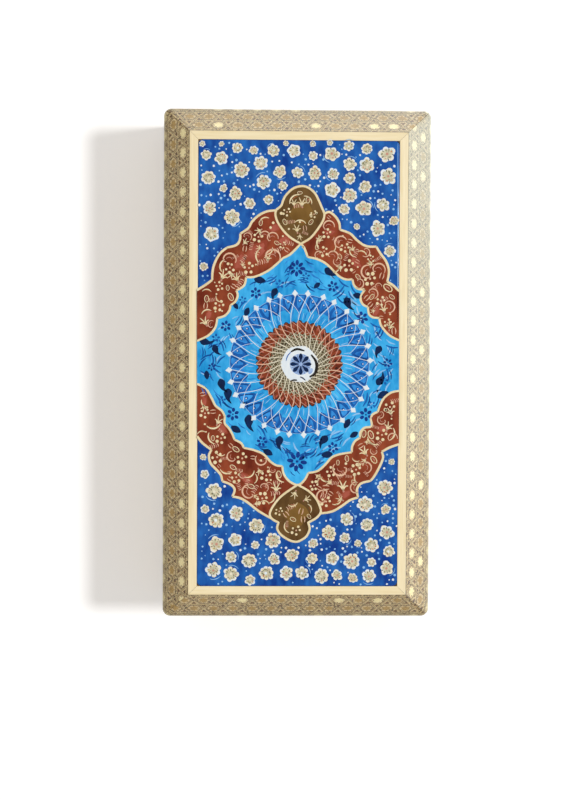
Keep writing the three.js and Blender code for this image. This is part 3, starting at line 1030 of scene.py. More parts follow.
@dataclass
class Borders:
    """The marquetry of the box: four mitred borders on the lid and four sheets on the walls."""

    bevel_top: tuple[float, float] = (64.467, 10.4)
    slope: float = math.radians(53.0)
    lid_foot: float = 44.25
    lid_rear_foot: float = 45.38
    lid_first_row: float = 4.3
    wall_top: float = 39.75
    wall_rear_top: float = 38.62
    wall_foot: float = 3.7
    wall_first_row: float = 2.9
    rear_chamfer: float = math.tan(math.radians(52.5))
    # Where a star of the inner row lies along each side, and the share of bright stars there, set highest on
    # the lamp-facing front as a painted highlight.
    stars: dict[Side, tuple[float, float]] = field(
        default_factory=lambda: {
            Side.FRONT: (1.85, 0.62),
            Side.RIGHT: (1.0, 0.2),
            Side.REAR: (1.75, 0.5),
            Side.LEFT: (1.47, 0.15),
        }
    )

    def on_lid(self, side: Side, seed: int) -> Veneer:
        """Lays out the border of one side of the lid, over its bevel and upright face.

        Args:
            side: The side.
            seed: Fixes the tints.

        Returns:
            The border.
        """
        word, rear = side.value[0], side is Side.REAR
        return Veneer(
            name=f"lid_marquetry_{word}",
            side=side,
            line=SideLine(*self.bevel_top, self.lid_rear_foot if rear else self.lid_foot, self.slope),
            body="lid",
            replaced=(f"bevel_veneer_{word}", f"skirt_veneer_{word}"),
            phase=self.stars[side][0],
            bright=self.stars[side][1],
            first_row=self.lid_first_row,
            seed=seed,
            chamfer_down=self.rear_chamfer * rear,
        )

    def on_wall(self, side: Side, seed: int) -> Veneer:
        """Lays out the sheet of one wall.

        Args:
            side: The side.
            seed: Fixes the tints.

        Returns:
            The sheet.
        """
        word, rear = side.value[0], side is Side.REAR
        return Veneer(
            name=f"wall_marquetry_{word}",
            side=side,
            line=SideLine(self.wall_rear_top if rear else self.wall_top, 0.0, self.wall_foot),
            body="box",
            replaced=(f"wall_veneer_{word}",),
            phase=0.0,
            first_row=self.wall_first_row,
            seed=seed,
            chamfer_up=self.rear_chamfer * rear,
        )

    def build(self) -> list[Object]:
        """Builds the borders and then the walls' sheets.

        Returns:
            The finished pieces.
        """
        marquetry = Marquetry()
        veneers = [self.on_lid(side, 11 + k) for k, side in enumerate(Side)]
        veneers += [self.on_wall(side, 31 + k) for k, side in enumerate(Side)]
        return [veneer.build(marquetry) for veneer in veneers]


@dataclass(frozen=True)
class DrawingGrid:
    """The painter's squares. They are counted to the right and down with the box's right end at the top."""

    square: float = 0.3865
    middle: Point = (298.35, 363.35)
    lean: float = 0.0056
    level: float = 65.0

    def on_plate(self, x: float, y: float) -> Point:
        """Turns a place counted in squares into one on the lid, in millimetres."""
        right = (x - self.middle[0] + self.lean * (y - self.middle[1])) * self.square
        return (self.middle[1] - y) * self.square, -right

    def alone(self, x: float, y: float) -> Point:
        """Turns a place on a stamp, counted in squares from its own middle, into millimetres."""
        return -y * self.square, -x * self.square


def numbers(text: str) -> list[tuple[float, ...]]:
    """Reads places that are written as numbers with commas and set apart by spaces."""
    return [tuple(float(part) for part in spot.split(",")) for spot in text.split()]


def spoke(reach: float, turn: float) -> Point:
    """Returns the place at this distance from a middle, turned anticlockwise from the right by degrees."""
    return reach * math.cos(math.radians(turn)), -reach * math.sin(math.radians(turn))


def polar(text: str) -> list[Point]:
    """Reads places round a middle that are written as "reach,turn"."""
    return [spoke(*spot) for spot in numbers(text)]


def smooth_line(points: Sequence[Point], steps: int = 4, closed: bool = False) -> list[Point]:
    """Draws an even curve through points.

    Args:
        points: The points that it passes through.
        steps: How many pieces each stretch gets.
        closed: Whether the end runs on into the start.

    Returns:
        The points of the curve.
    """
    count = len(points)
    line: list[Point] = []
    for i in range(count if closed else count - 1):
        near = [(i + k) % count if closed else min(max(i + k, 0), count - 1) for k in (-1, 0, 1, 2)]
        for step in range(steps):
            t = step / steps
            weights = (
                -0.5 * t + t * t - 0.5 * t**3,
                1 - 2.5 * t * t + 1.5 * t**3,
                0.5 * t + 2 * t * t - 1.5 * t**3,
                -0.5 * t * t + 0.5 * t**3,
            )
            line.append(tuple(sum(w * points[n][axis] for w, n in zip(weights, near)) for axis in (0, 1)))
    return line if closed else [*line, points[-1]]


def arc(
    x: float, y: float, radius: float, start: float, sweep: float, steps: int = 8, flat: float = 1.0
) -> list[Point]:
    """Draws part of an ellipse, by degrees anticlockwise from the right. Flat is its height for its width."""
    turns = [math.radians(start + sweep * step / steps) for step in range(steps + (abs(sweep) < 360))]
    return [(x + radius * math.cos(turn), y - radius * flat * math.sin(turn)) for turn in turns]


def within(outline: Sequence[Point], x: float, y: float) -> bool:
    """Says whether a point lies inside an outline.

    Args:
        outline: The outline's points.
        x: The point, to the right.
        y: The point, down.

    Returns:
        Whether it does.
    """
    inside = False
    for (x1, y1), (x2, y2) in zip(outline, [*outline[1:], outline[0]], strict=True):
        if (y1 > y) != (y2 > y) and x < x1 + (x2 - x1) * (y - y1) / (y2 - y1):
            inside = not inside
    return inside


class Canvas:
    """Gathers thin closed shapes of paint. Heights are millimetres above what is painted."""

    foot = -0.01

    def __init__(self, grid: DrawingGrid, stamp: bool = False) -> None:
        """Starts empty.

        Args:
            grid: The painter's squares.
            stamp: Whether it is a stamp, drawn round its own middle, and not the plate.
        """
        self.to_mm = grid.alone if stamp else grid.on_plate
        self.level = 0.0 if stamp else grid.level
        self.points: list[tuple[float, float, float]] = []
        self.faces: list[tuple[int, ...]] = []
        self.paints: list[int] = []

    def ring(self, flat: Sequence[Point], height: float) -> list[int]:
        """Adds points at one height and returns their numbers."""
        self.points += [(x, y, self.level + height) for x, y in flat]
        return list(range(len(self.points) - len(flat), len(self.points)))

    def face(self, corners: Sequence[int], paint: Paint) -> None:
        """Adds one face."""
        self.faces.append(tuple(corners))
        self.paints.append(list(Paint).index(paint))

    def patch(
        self, outline: Sequence[Point], paint: Paint, top: float, smooth: int = 1, soft: float = 0.0
    ) -> "Canvas":
        """Fills an outline with paint.

        Args:
            outline: Its points in squares, either way round.
            paint: The paint.
            top: How high the paint stands.
            smooth: How many pieces a curve through the points has between two of them.
            soft: How far its upper edge is drawn in, as a share of its size.

        Returns:
            The canvas.
        """
        flat = [self.to_mm(x, y) for x, y in smooth_line(outline, smooth, True)]
        count = len(flat)
        area = sum(a[0] * b[1] - b[0] * a[1] for a, b in zip(flat, [*flat[1:], flat[0]], strict=True))
        if area < 0:
            flat.reverse()
        middle = [sum(p[k] for p in flat) / count for k in (0, 1)]
        drawn = [tuple(p[k] + (middle[k] - p[k]) * soft for k in (0, 1)) for p in flat]
        low, high = self.ring(flat, self.foot), self.ring(drawn, top)
        self.face(low[::-1], paint)
        self.face(high, paint)
        for i in range(count):
            j = (i + 1) % count
            self.face((low[i], low[j], high[j], high[i]), paint)
        return self

    def dab(
        self,
        x: float,
        y: float,
        radius: float,
        paint: Paint,
        top: float,
        sides: int = 8,
        flat: float = 1.0,
        turn: float = 0.0,
    ) -> "Canvas":
        """Sets down a round or oval dab of paint.

        Args:
            x: Its middle, in squares to the right.
            y: Its middle, in squares down.
            radius: Its longer radius.
            paint: The paint.
            top: How high the paint stands.
            sides: How many corners it has.
            flat: Its shorter radius for its longer one.
            turn: The longer one's turn, in degrees.

        Returns:
            The canvas.
        """
        c, s = math.cos(math.radians(turn)), math.sin(math.radians(turn))
        level = arc(0, 0, radius, 0, 360, sides, flat)
        oval = [(x + px * c + py * s, y - px * s + py * c) for px, py in level]
        return self.patch(oval, paint, top, soft=0.25)

    def stroke(
        self,
        line: Sequence[Point],
        width: float,
        paint: Paint,
        top: float,
        taper: float = 0.0,
        smooth: int = 1,
        closed: bool = False,
    ) -> "Canvas":
        """Draws a line with a brush.

        Args:
            line: Its points in squares.
            width: Its width in squares.
            paint: The paint.
            top: How high the paint stands.
            taper: How much thinner the ends are, from 0 to 1.
            smooth: How many pieces a curve through the points has between two of them.
            closed: Whether the line ends where it starts.

        Returns:
            The canvas.
        """
        flat = [self.to_mm(x, y) for x, y in smooth_line(line, smooth, closed)]
        scale = math.dist(self.to_mm(0, 0), self.to_mm(1, 0))
        count = len(flat)
        rings: list[list[int]] = []
        for i, (x, y) in enumerate(flat):
            before = flat[i - 1] if closed or i else flat[i]
            after = flat[(i + 1) % count] if closed or i + 1 < count else flat[i]
            dx, dy = after[0] - before[0], after[1] - before[1]
            swell = 1.0 if closed else 1.0 - taper * (1 - math.sin(math.pi * i / (count - 1)))
            half = width * scale / 2 * swell / (math.hypot(dx, dy) or 1.0)
            section = ((1.0, self.foot), (0.6, top), (-0.6, top), (-1.0, self.foot))
            spots = [((x - dy * half * out, y + dx * half * out), height) for out, height in section]
            rings.append([self.ring([spot], height)[0] for spot, height in spots])
        pairs = list(zip(rings, rings[1:], strict=False)) + ([(rings[-1], rings[0])] if closed else [])
        for near, far in pairs:
            for k in range(4):
                self.face((near[k], near[(k + 1) % 4], far[(k + 1) % 4], far[k]), paint)
        if not closed:
            self.face(rings[0][::-1], paint)
            self.face(rings[-1], paint)
        return self

    def mesh(self, name: str, scale: float = MM) -> Mesh:
        """Builds the gathered shapes.

        Args:
            name: The mesh's name.
            scale: The size of a millimetre.

        Returns:
            The mesh, with each face's paint as a number.
        """
        mesh = bpy.data.meshes.new(name)
        mesh.from_pydata([tuple(c * scale for c in p) for p in self.points], [], self.faces)
        mesh.attributes.new("paint", "INT", "FACE").data.foreach_set("value", self.paints)
        return mesh


@dataclass(frozen=True)
class Place:
    """Where a stamp is set down on the plate: squares to the right and down, its turn and its size."""

    stamp: str
    x: float
    y: float
    turn: float = 0.0
    size: float = 1.0


class Stamps:
    """The small shapes that the painter repeats, and the tree that sets them down."""

    blossom_kinds = 14

    def __init__(self, grid: DrawingGrid) -> None:
        """Draws every stamp and builds the tree.

        Args:
            grid: The painter's squares.
        """
        self.grid = grid
        self.palette = [paint.value.material() for paint in Paint]
        self.drawn: dict[str, Canvas] = {}
        self.draw_marks()
        self.draw_leaves()
        for kind in range(self.blossom_kinds):
            self.draw_blossom(kind)
        self.draw_rosette()
        self.collection = bpy.data.collections.new("stamps")
        for number, (name, canvas) in enumerate(self.drawn.items()):
            stamp = bpy.data.objects.new(f"stamp_{number:03d}_{name}", canvas.mesh(name, 1.0))
            self.collection.objects.link(stamp)
        self.tree = self.stamping_tree()

    def stamp(self, name: str) -> Canvas:
        """Starts a stamp under the next number and returns its canvas."""
        return self.drawn.setdefault(name, Canvas(self.grid, stamp=True))

    def draw_marks(self) -> None:
        """Draws dots, scrolls, loops and sprigs."""
        cream, pink, blush = Paint.CREAM, Paint.PINK, Paint.BLUSH
        for name, paint in (("cream_dot", cream), ("white_dot", Paint.WHITE), ("sky_dot", Paint.SKY)):
            self.stamp(name).dab(0, 0, 1.5, paint, 0.1)
        curl = [*arc(0, 0, 6.4, -15, 195, 9), (-5, 3), (-2.8, 2.6)]
        scroll = self.stamp("scroll").stroke(curl, 1.9, blush, 0.1, 0.5)
        scroll.stroke(arc(-0.4, 1.0, 3.4, 25, 140, 5), 0.8, pink, 0.08, 0.5)
        hook = self.stamp("hook").stroke(arc(0, 0, 8, 0, 108, 8), 2.0, cream, 0.1, 0.6)
        hook.stroke(arc(0.6, 0, 5.8, 12, 66, 4), 0.7, Paint.ORANGE, 0.08, 0.5)
        for name, count in (("five_dots", 5), ("six_dots", 6)):
            flower = self.stamp(name)
            for k in range(count):
                x, y = spoke(4.5 + 0.5 * ((k * 7) % 3 - 1), -360 * k / count - 9 * ((k * 5) % 3 - 1))
                flower.dab(x, y, 1.7 + 0.25 * ((k * 4) % 3 - 1), cream, 0.1, 7)
            flower.dab(0.2, 0.1, 1.1, blush, 0.09, 6)
        sprig = self.stamp("sprig")
        for lean, length in ((-52, 5.0), (-20, 6.8), (14, 7.4), (46, 5.4)):
            x, y = spoke(3, 90 + lean)
            sprig.stroke([(0, 2.8), (x, y + 1), spoke(length, 90 + lean * 1.5)], 1.5, cream, 0.1, 0.55, 3)
        sprig.dab(0.4, 3.6, 1.2, pink, 0.09, 6)
        loop = self.stamp("loop").stroke(arc(0, 0, 2.2, 0, 360, 10, 1.7), 1.0, cream, 0.1, closed=True)
        loop.stroke(numbers("-0.2,1.8 0.3,0 -0.1,-1.8"), 0.9, pink, 0.09, 0.4)
        pair = self.stamp("pair")
        for side in (-1.6, 1.6):
            pair.stroke([(side, 3.6), (side * 1.4, 0), (side * 0.9, -3.6)], 1.4, blush, 0.1, 0.6, 2)
        hatch = self.stamp("hatch")
        for k in range(5):
            spot = 2.3 * (k - 2)
            bow = [(spot, 3.0 - 0.3 * k), (spot + 0.8, 0), (spot - 0.3, -2.6 - 0.4 * (k % 2))]
            hatch.stroke(bow, 1.2, (blush, pink)[k % 2], 0.085, 0.5, 2)
        round_edge = enumerate(arc(0, 0, 1, 0, 360, 14))
        edge = [(9 * (1 + 0.25 * math.sin(2.3 * k)) * px, 5 * py) for k, (px, py) in round_edge]
        cloud = self.stamp("cloud").patch(edge, Paint.CLAY, 0.036)
        cloud.patch([(0.72 * px, 0.72 * py) for px, py in edge], Paint.ROSE, 0.04)

    def draw_leaves(self) -> None:
        """Draws the dark drops, strokes and florets of the turquoise ground."""
        drop = numbers("0,-5.8 3.2,-3.4 3,0 1.6,3.2 3.2,7.2 -0.6,4.4 -2.5,1 -3.2,-2.6")
        self.stamp("drop").patch(drop, Paint.NAVY, 0.08, 3)
        leaf = numbers("0,-5 2.6,-1.8 2.5,1.6 0,4.8 -2.4,1.8 -2.7,-1.6")
        self.stamp("leaf").patch(leaf, Paint.NAVY, 0.08, 3)
        blade = self.stamp("blade")
        blade.stroke(numbers("-0.8,6.5 0.6,0 -0.4,-6.5"), 2.4, Paint.SAPPHIRE, 0.07, 0.7, 3)
        blade.stroke(numbers("2.6,5 3.2,0 2.2,-4.2"), 1.6, Paint.INDIGO, 0.07, 0.7, 3)
        blade.stroke(numbers("-3.6,4 -2.6,-0.5 -3.2,-4.6"), 1.8, Paint.RING, 0.07, 0.7, 3)
        for name, paint in (("light", Paint.SKY), ("dark", Paint.RING), ("deep", Paint.SAPPHIRE)):
            self.stamp("brush_" + name).stroke(numbers("0.7,5.4 -0.5,0 0.4,-5.4"), 2.3, paint, 0.06, 0.7, 3)
        for name, petals, reach, paint in (
            ("floret", 8, 8.8, Paint.INDIGO),
            ("small_floret", 6, 5.8, Paint.INDIGO),
            ("blue_floret", 5, 4.8, Paint.SAPPHIRE),
        ):
            floret = self.stamp(name)
            for k in range(petals):
                turn = 360 * k / petals + 90
                x, y = spoke((0.64 if k % 2 == 0 else 0.58) * reach, turn)
                floret.dab(x, y, 0.38 * reach, paint, 0.08, 8, 0.6 if petals > 6 else 0.74, turn)
            floret.dab(0, 0, 0.15 * reach, paint, 0.08, 6)

    def draw_blossom(self, kind: int) -> None:
        """Draws one of the ragged little blossoms of the blue field.

        Args:
            kind: Which one. No two are alike.
        """
        rng = random.Random(500 + kind)
        blossom = self.stamp(f"blossom_{kind}")
        lobes = rng.choice((5, 6, 6, 7, 8))
        reaches = [rng.uniform(6.4, 8.0) for _ in range(lobes)]
        edge = []
        for k in range(lobes * 5):
            reach = reaches[((k + 2) // 5) % lobes] * (1.0, 0.96, 0.84, 0.84, 0.96)[k % 5]
            edge.append(spoke(reach * rng.uniform(0.95, 1.05), -72 * k / lobes))
        blossom.patch(edge, (Paint.MILK, Paint.WHITE)[kind % 2], 0.05)
        blossom.patch([(0.75 * px, 0.75 * py) for px, py in edge], Paint.SHELL, 0.06)
        inner = (Paint.OCHRE, Paint.PINK, Paint.OLIVE, Paint.OLIVE, Paint.SHELL, Paint.ORANGE)
        for k, reach in enumerate(reaches):
            turn = 360 * k / lobes
            x, y = spoke(reach - 2.4, -turn)
            spread = rng.uniform(180, 290)
            rim = arc(x, y, 2.0, -turn - spread / 2, spread, 6)
            blossom.stroke(rim, rng.uniform(1.0, 1.5), rng.choice((Paint.WHITE, Paint.MILK)), 0.08, 0.4)
            size, paint = rng.uniform(0.8, 1.4), rng.choice(inner)
            blossom.dab(0.8 * x, 0.8 * y, size, paint, 0.09, 6, 0.6, rng.uniform(0, 180))
            gap = turn + 180 / lobes
            spot = spoke(rng.uniform(3.6, 5.6), -gap)
            dark = rng.choice((Paint.OLIVE, Paint.NAVY, Paint.UMBER, Paint.SOOT))
            blossom.dab(*spot, rng.uniform(0.9, 1.5), dark, 0.085, 6, 0.4, -gap + rng.uniform(-30, 30))
        for _ in range(5):
            spot = spoke(2.7, -rng.uniform(0, 360))
            dark = rng.choice((Paint.SOOT, Paint.OLIVE, Paint.PINK, Paint.MILK))
            blossom.dab(*spot, rng.uniform(0.5, 0.9), dark, 0.095, 6, 0.6, rng.uniform(0, 180))
        blossom.dab(0.3, 0.2, rng.uniform(1.0, 1.9), rng.choice((Paint.WHITE, Paint.MILK, Paint.PINK)), 0.09)
        if kind % 3 == 0:
            blossom.stroke(arc(0, 0, 8.6, rng.uniform(0, 360), 70, 5), 0.8, Paint.SKY, 0.045, 0.6)

    def draw_rosette(self) -> None:
        """Draws what the medallion's rosette repeats round its middle."""
        for name, spots, width, paint, top in (
            ("swirl_outer", "70.2,0 64,1.5 57,4 50,6.6 43.2,8.8", 0.85, Paint.WHITE, 0.17),
            ("swirl_middle", "43.2,8.8 37,9.6 31,8.4", 1.3, Paint.BLUSH, 0.17),
            ("swirl_inner", "31,8.4 25,4.4 17.5,-5", 1.1, Paint.MILK, 0.19),
            ("counter_outer", "70.2,0 64.5,-5.6 58,-11 51,-15.5", 0.62, Paint.WHITE, 0.165),
            ("counter_middle", "43.2,0 37.5,-9 31.5,-21", 1.0, Paint.PINK, 0.165),
            ("counter_inner", "31.5,-21 25,-37 17.9,-60", 0.8, Paint.SHELL, 0.185),
            ("lattice", "33,0 28,15 23,31 18.9,50", 0.6, Paint.SHELL, 0.16),
        ):
            self.stamp(name).stroke(polar(spots), width, paint, top, 0.25, 3)
        cell = self.stamp("cell")
        cell.patch(polar("69,1.2 69.2,9.6 62,12.4 55,11.2 53,7.5 61,3.6"), Paint.SAPPHIRE, 0.07, 3)
        cell.patch(polar("67.5,3 67.5,8.6 60,9.6 56.5,7.6"), Paint.RING, 0.08, 3)
        cell.stroke(polar("66.5,2.6 60,4.4 54,8"), 0.9, Paint.NAVY, 0.085, 0.6)
        x, y = spoke(63, 7)
        cell.dab(x, y, 2.2, Paint.SAPPHIRE, 0.09).dab(x + 0.4, y - 0.2, 0.9, Paint.WHITE, 0.1, 6)
        streak = self.stamp("streak").stroke(polar("54,0 50,1.5 45,2.4"), 1.6, Paint.RING, 0.075, 0.6, 2)
        streak.stroke(polar("52,4 48.5,4.6 45,5"), 1.1, Paint.SKY, 0.075, 0.6, 2)
        petal = self.stamp("petal").dab(39.3, 0, 5.2, Paint.SOOT, 0.11, 12, 0.68)
        petal.dab(39.1, 0, 4.9, Paint.BRICK, 0.12, 12, 0.56).dab(39.1, -0.4, 2.4, Paint.ROSE, 0.13, 8, 0.45)
        stain = self.stamp("stain")
        stain.dab(*spoke(35.5, 0), 1.9, Paint.SOOT, 0.14, 6, 0.5, 20)
        stain.dab(*spoke(31.5, 3.5), 1.7, Paint.OLIVE, 0.14, 6, 0.5, 23.5)
        stain.dab(*spoke(28.5, 8), 1.6, Paint.ROSE, 0.14, 6, 0.5, 28)
        tip = self.stamp("tip").dab(70.7, 0, 2.6, Paint.WHITE, 0.18, 10)
        tip.dab(70.7, 0, 4.0, Paint.WHITE, 0.175, 8, 0.4).dab(70.7, 0, 3.4, Paint.WHITE, 0.17, 8, 0.4, 90)
        eye_petal = self.stamp("eye_petal")
        eye_petal.patch(polar("1.6,0 5,14 8.4,14 10.8,0 8.4,-14 5,-14"), Paint.NAVY, 0.23, 3)
        eye_petal.stroke(polar("2,22 7,23 10.4,22"), 0.7, Paint.SAPPHIRE, 0.225, 0.5, 2)

    def stamping_tree(self) -> NodeTree:
        """Builds the tree: at each point, the stamp of the point's number, turned and sized as it says.

        Returns:
            The tree.
        """
        takes = {Socket.SHAPE: ["Places"], Socket.COLLECTION: ["Stamps"], Socket.NUMBER: ["Size"]}
        w = Group("Stamping", "GeometryNodeTree", takes, {Socket.SHAPE: ["Paint"]})
        values = {"Collection": w.got["Stamps"], "Separate Children": True, "Reset Children": True}
        stamps = w.add("GeometryNodeCollectionInfo", values)
        scale = w.times(w.attribute("size"), w.got["Size"])
        values = {
            "Points": w.got["Places"],
            "Instance": stamps.outputs[0],
            "Pick Instance": True,
            "Instance Index": w.attribute("kind", "INT"),
            "Rotation": w.add("ShaderNodeCombineXYZ", {"Z": w.attribute("turn")}).outputs[0],
            "Scale": w.add("ShaderNodeCombineXYZ", {"X": scale, "Y": scale, "Z": w.got["Size"]}).outputs[0],
        }
        set_down = w.add("GeometryNodeInstanceOnPoints", values)
        real = w.add("GeometryNodeRealizeInstances", {"Geometry": set_down.outputs[0]}).outputs[0]
        return w.give(Paint=set_by_number(w, real, "paint", self.palette))

    def set_down(self, name: str, places: Sequence[Place]) -> Object:
        """Sets stamps down on the plate and keeps them as one piece.

        Args:
            name: The piece's name.
            places: Where each stamp goes.

        Returns:
            The finished piece.
        """
        spots = bpy.data.meshes.new(name)
        flat = [self.grid.on_plate(place.x, place.y) for place in places]
        spots.from_pydata([(x * MM, y * MM, self.grid.level * MM) for x, y in flat], [], [])
        names = list(self.drawn)
        for label, kind, values in (
            ("kind", "INT", [names.index(place.stamp) for place in places]),
            ("turn", "FLOAT", [math.radians(place.turn) for place in places]),
            ("size", "FLOAT", [place.size for place in places]),
        ):
            spots.attributes.new(label, kind, "POINT").data.foreach_set("value", values)
        mesh = grown(placed(name, spots), self.tree, Stamps=self.collection, Size=MM)
        return finished_object(name, mesh, "lid")


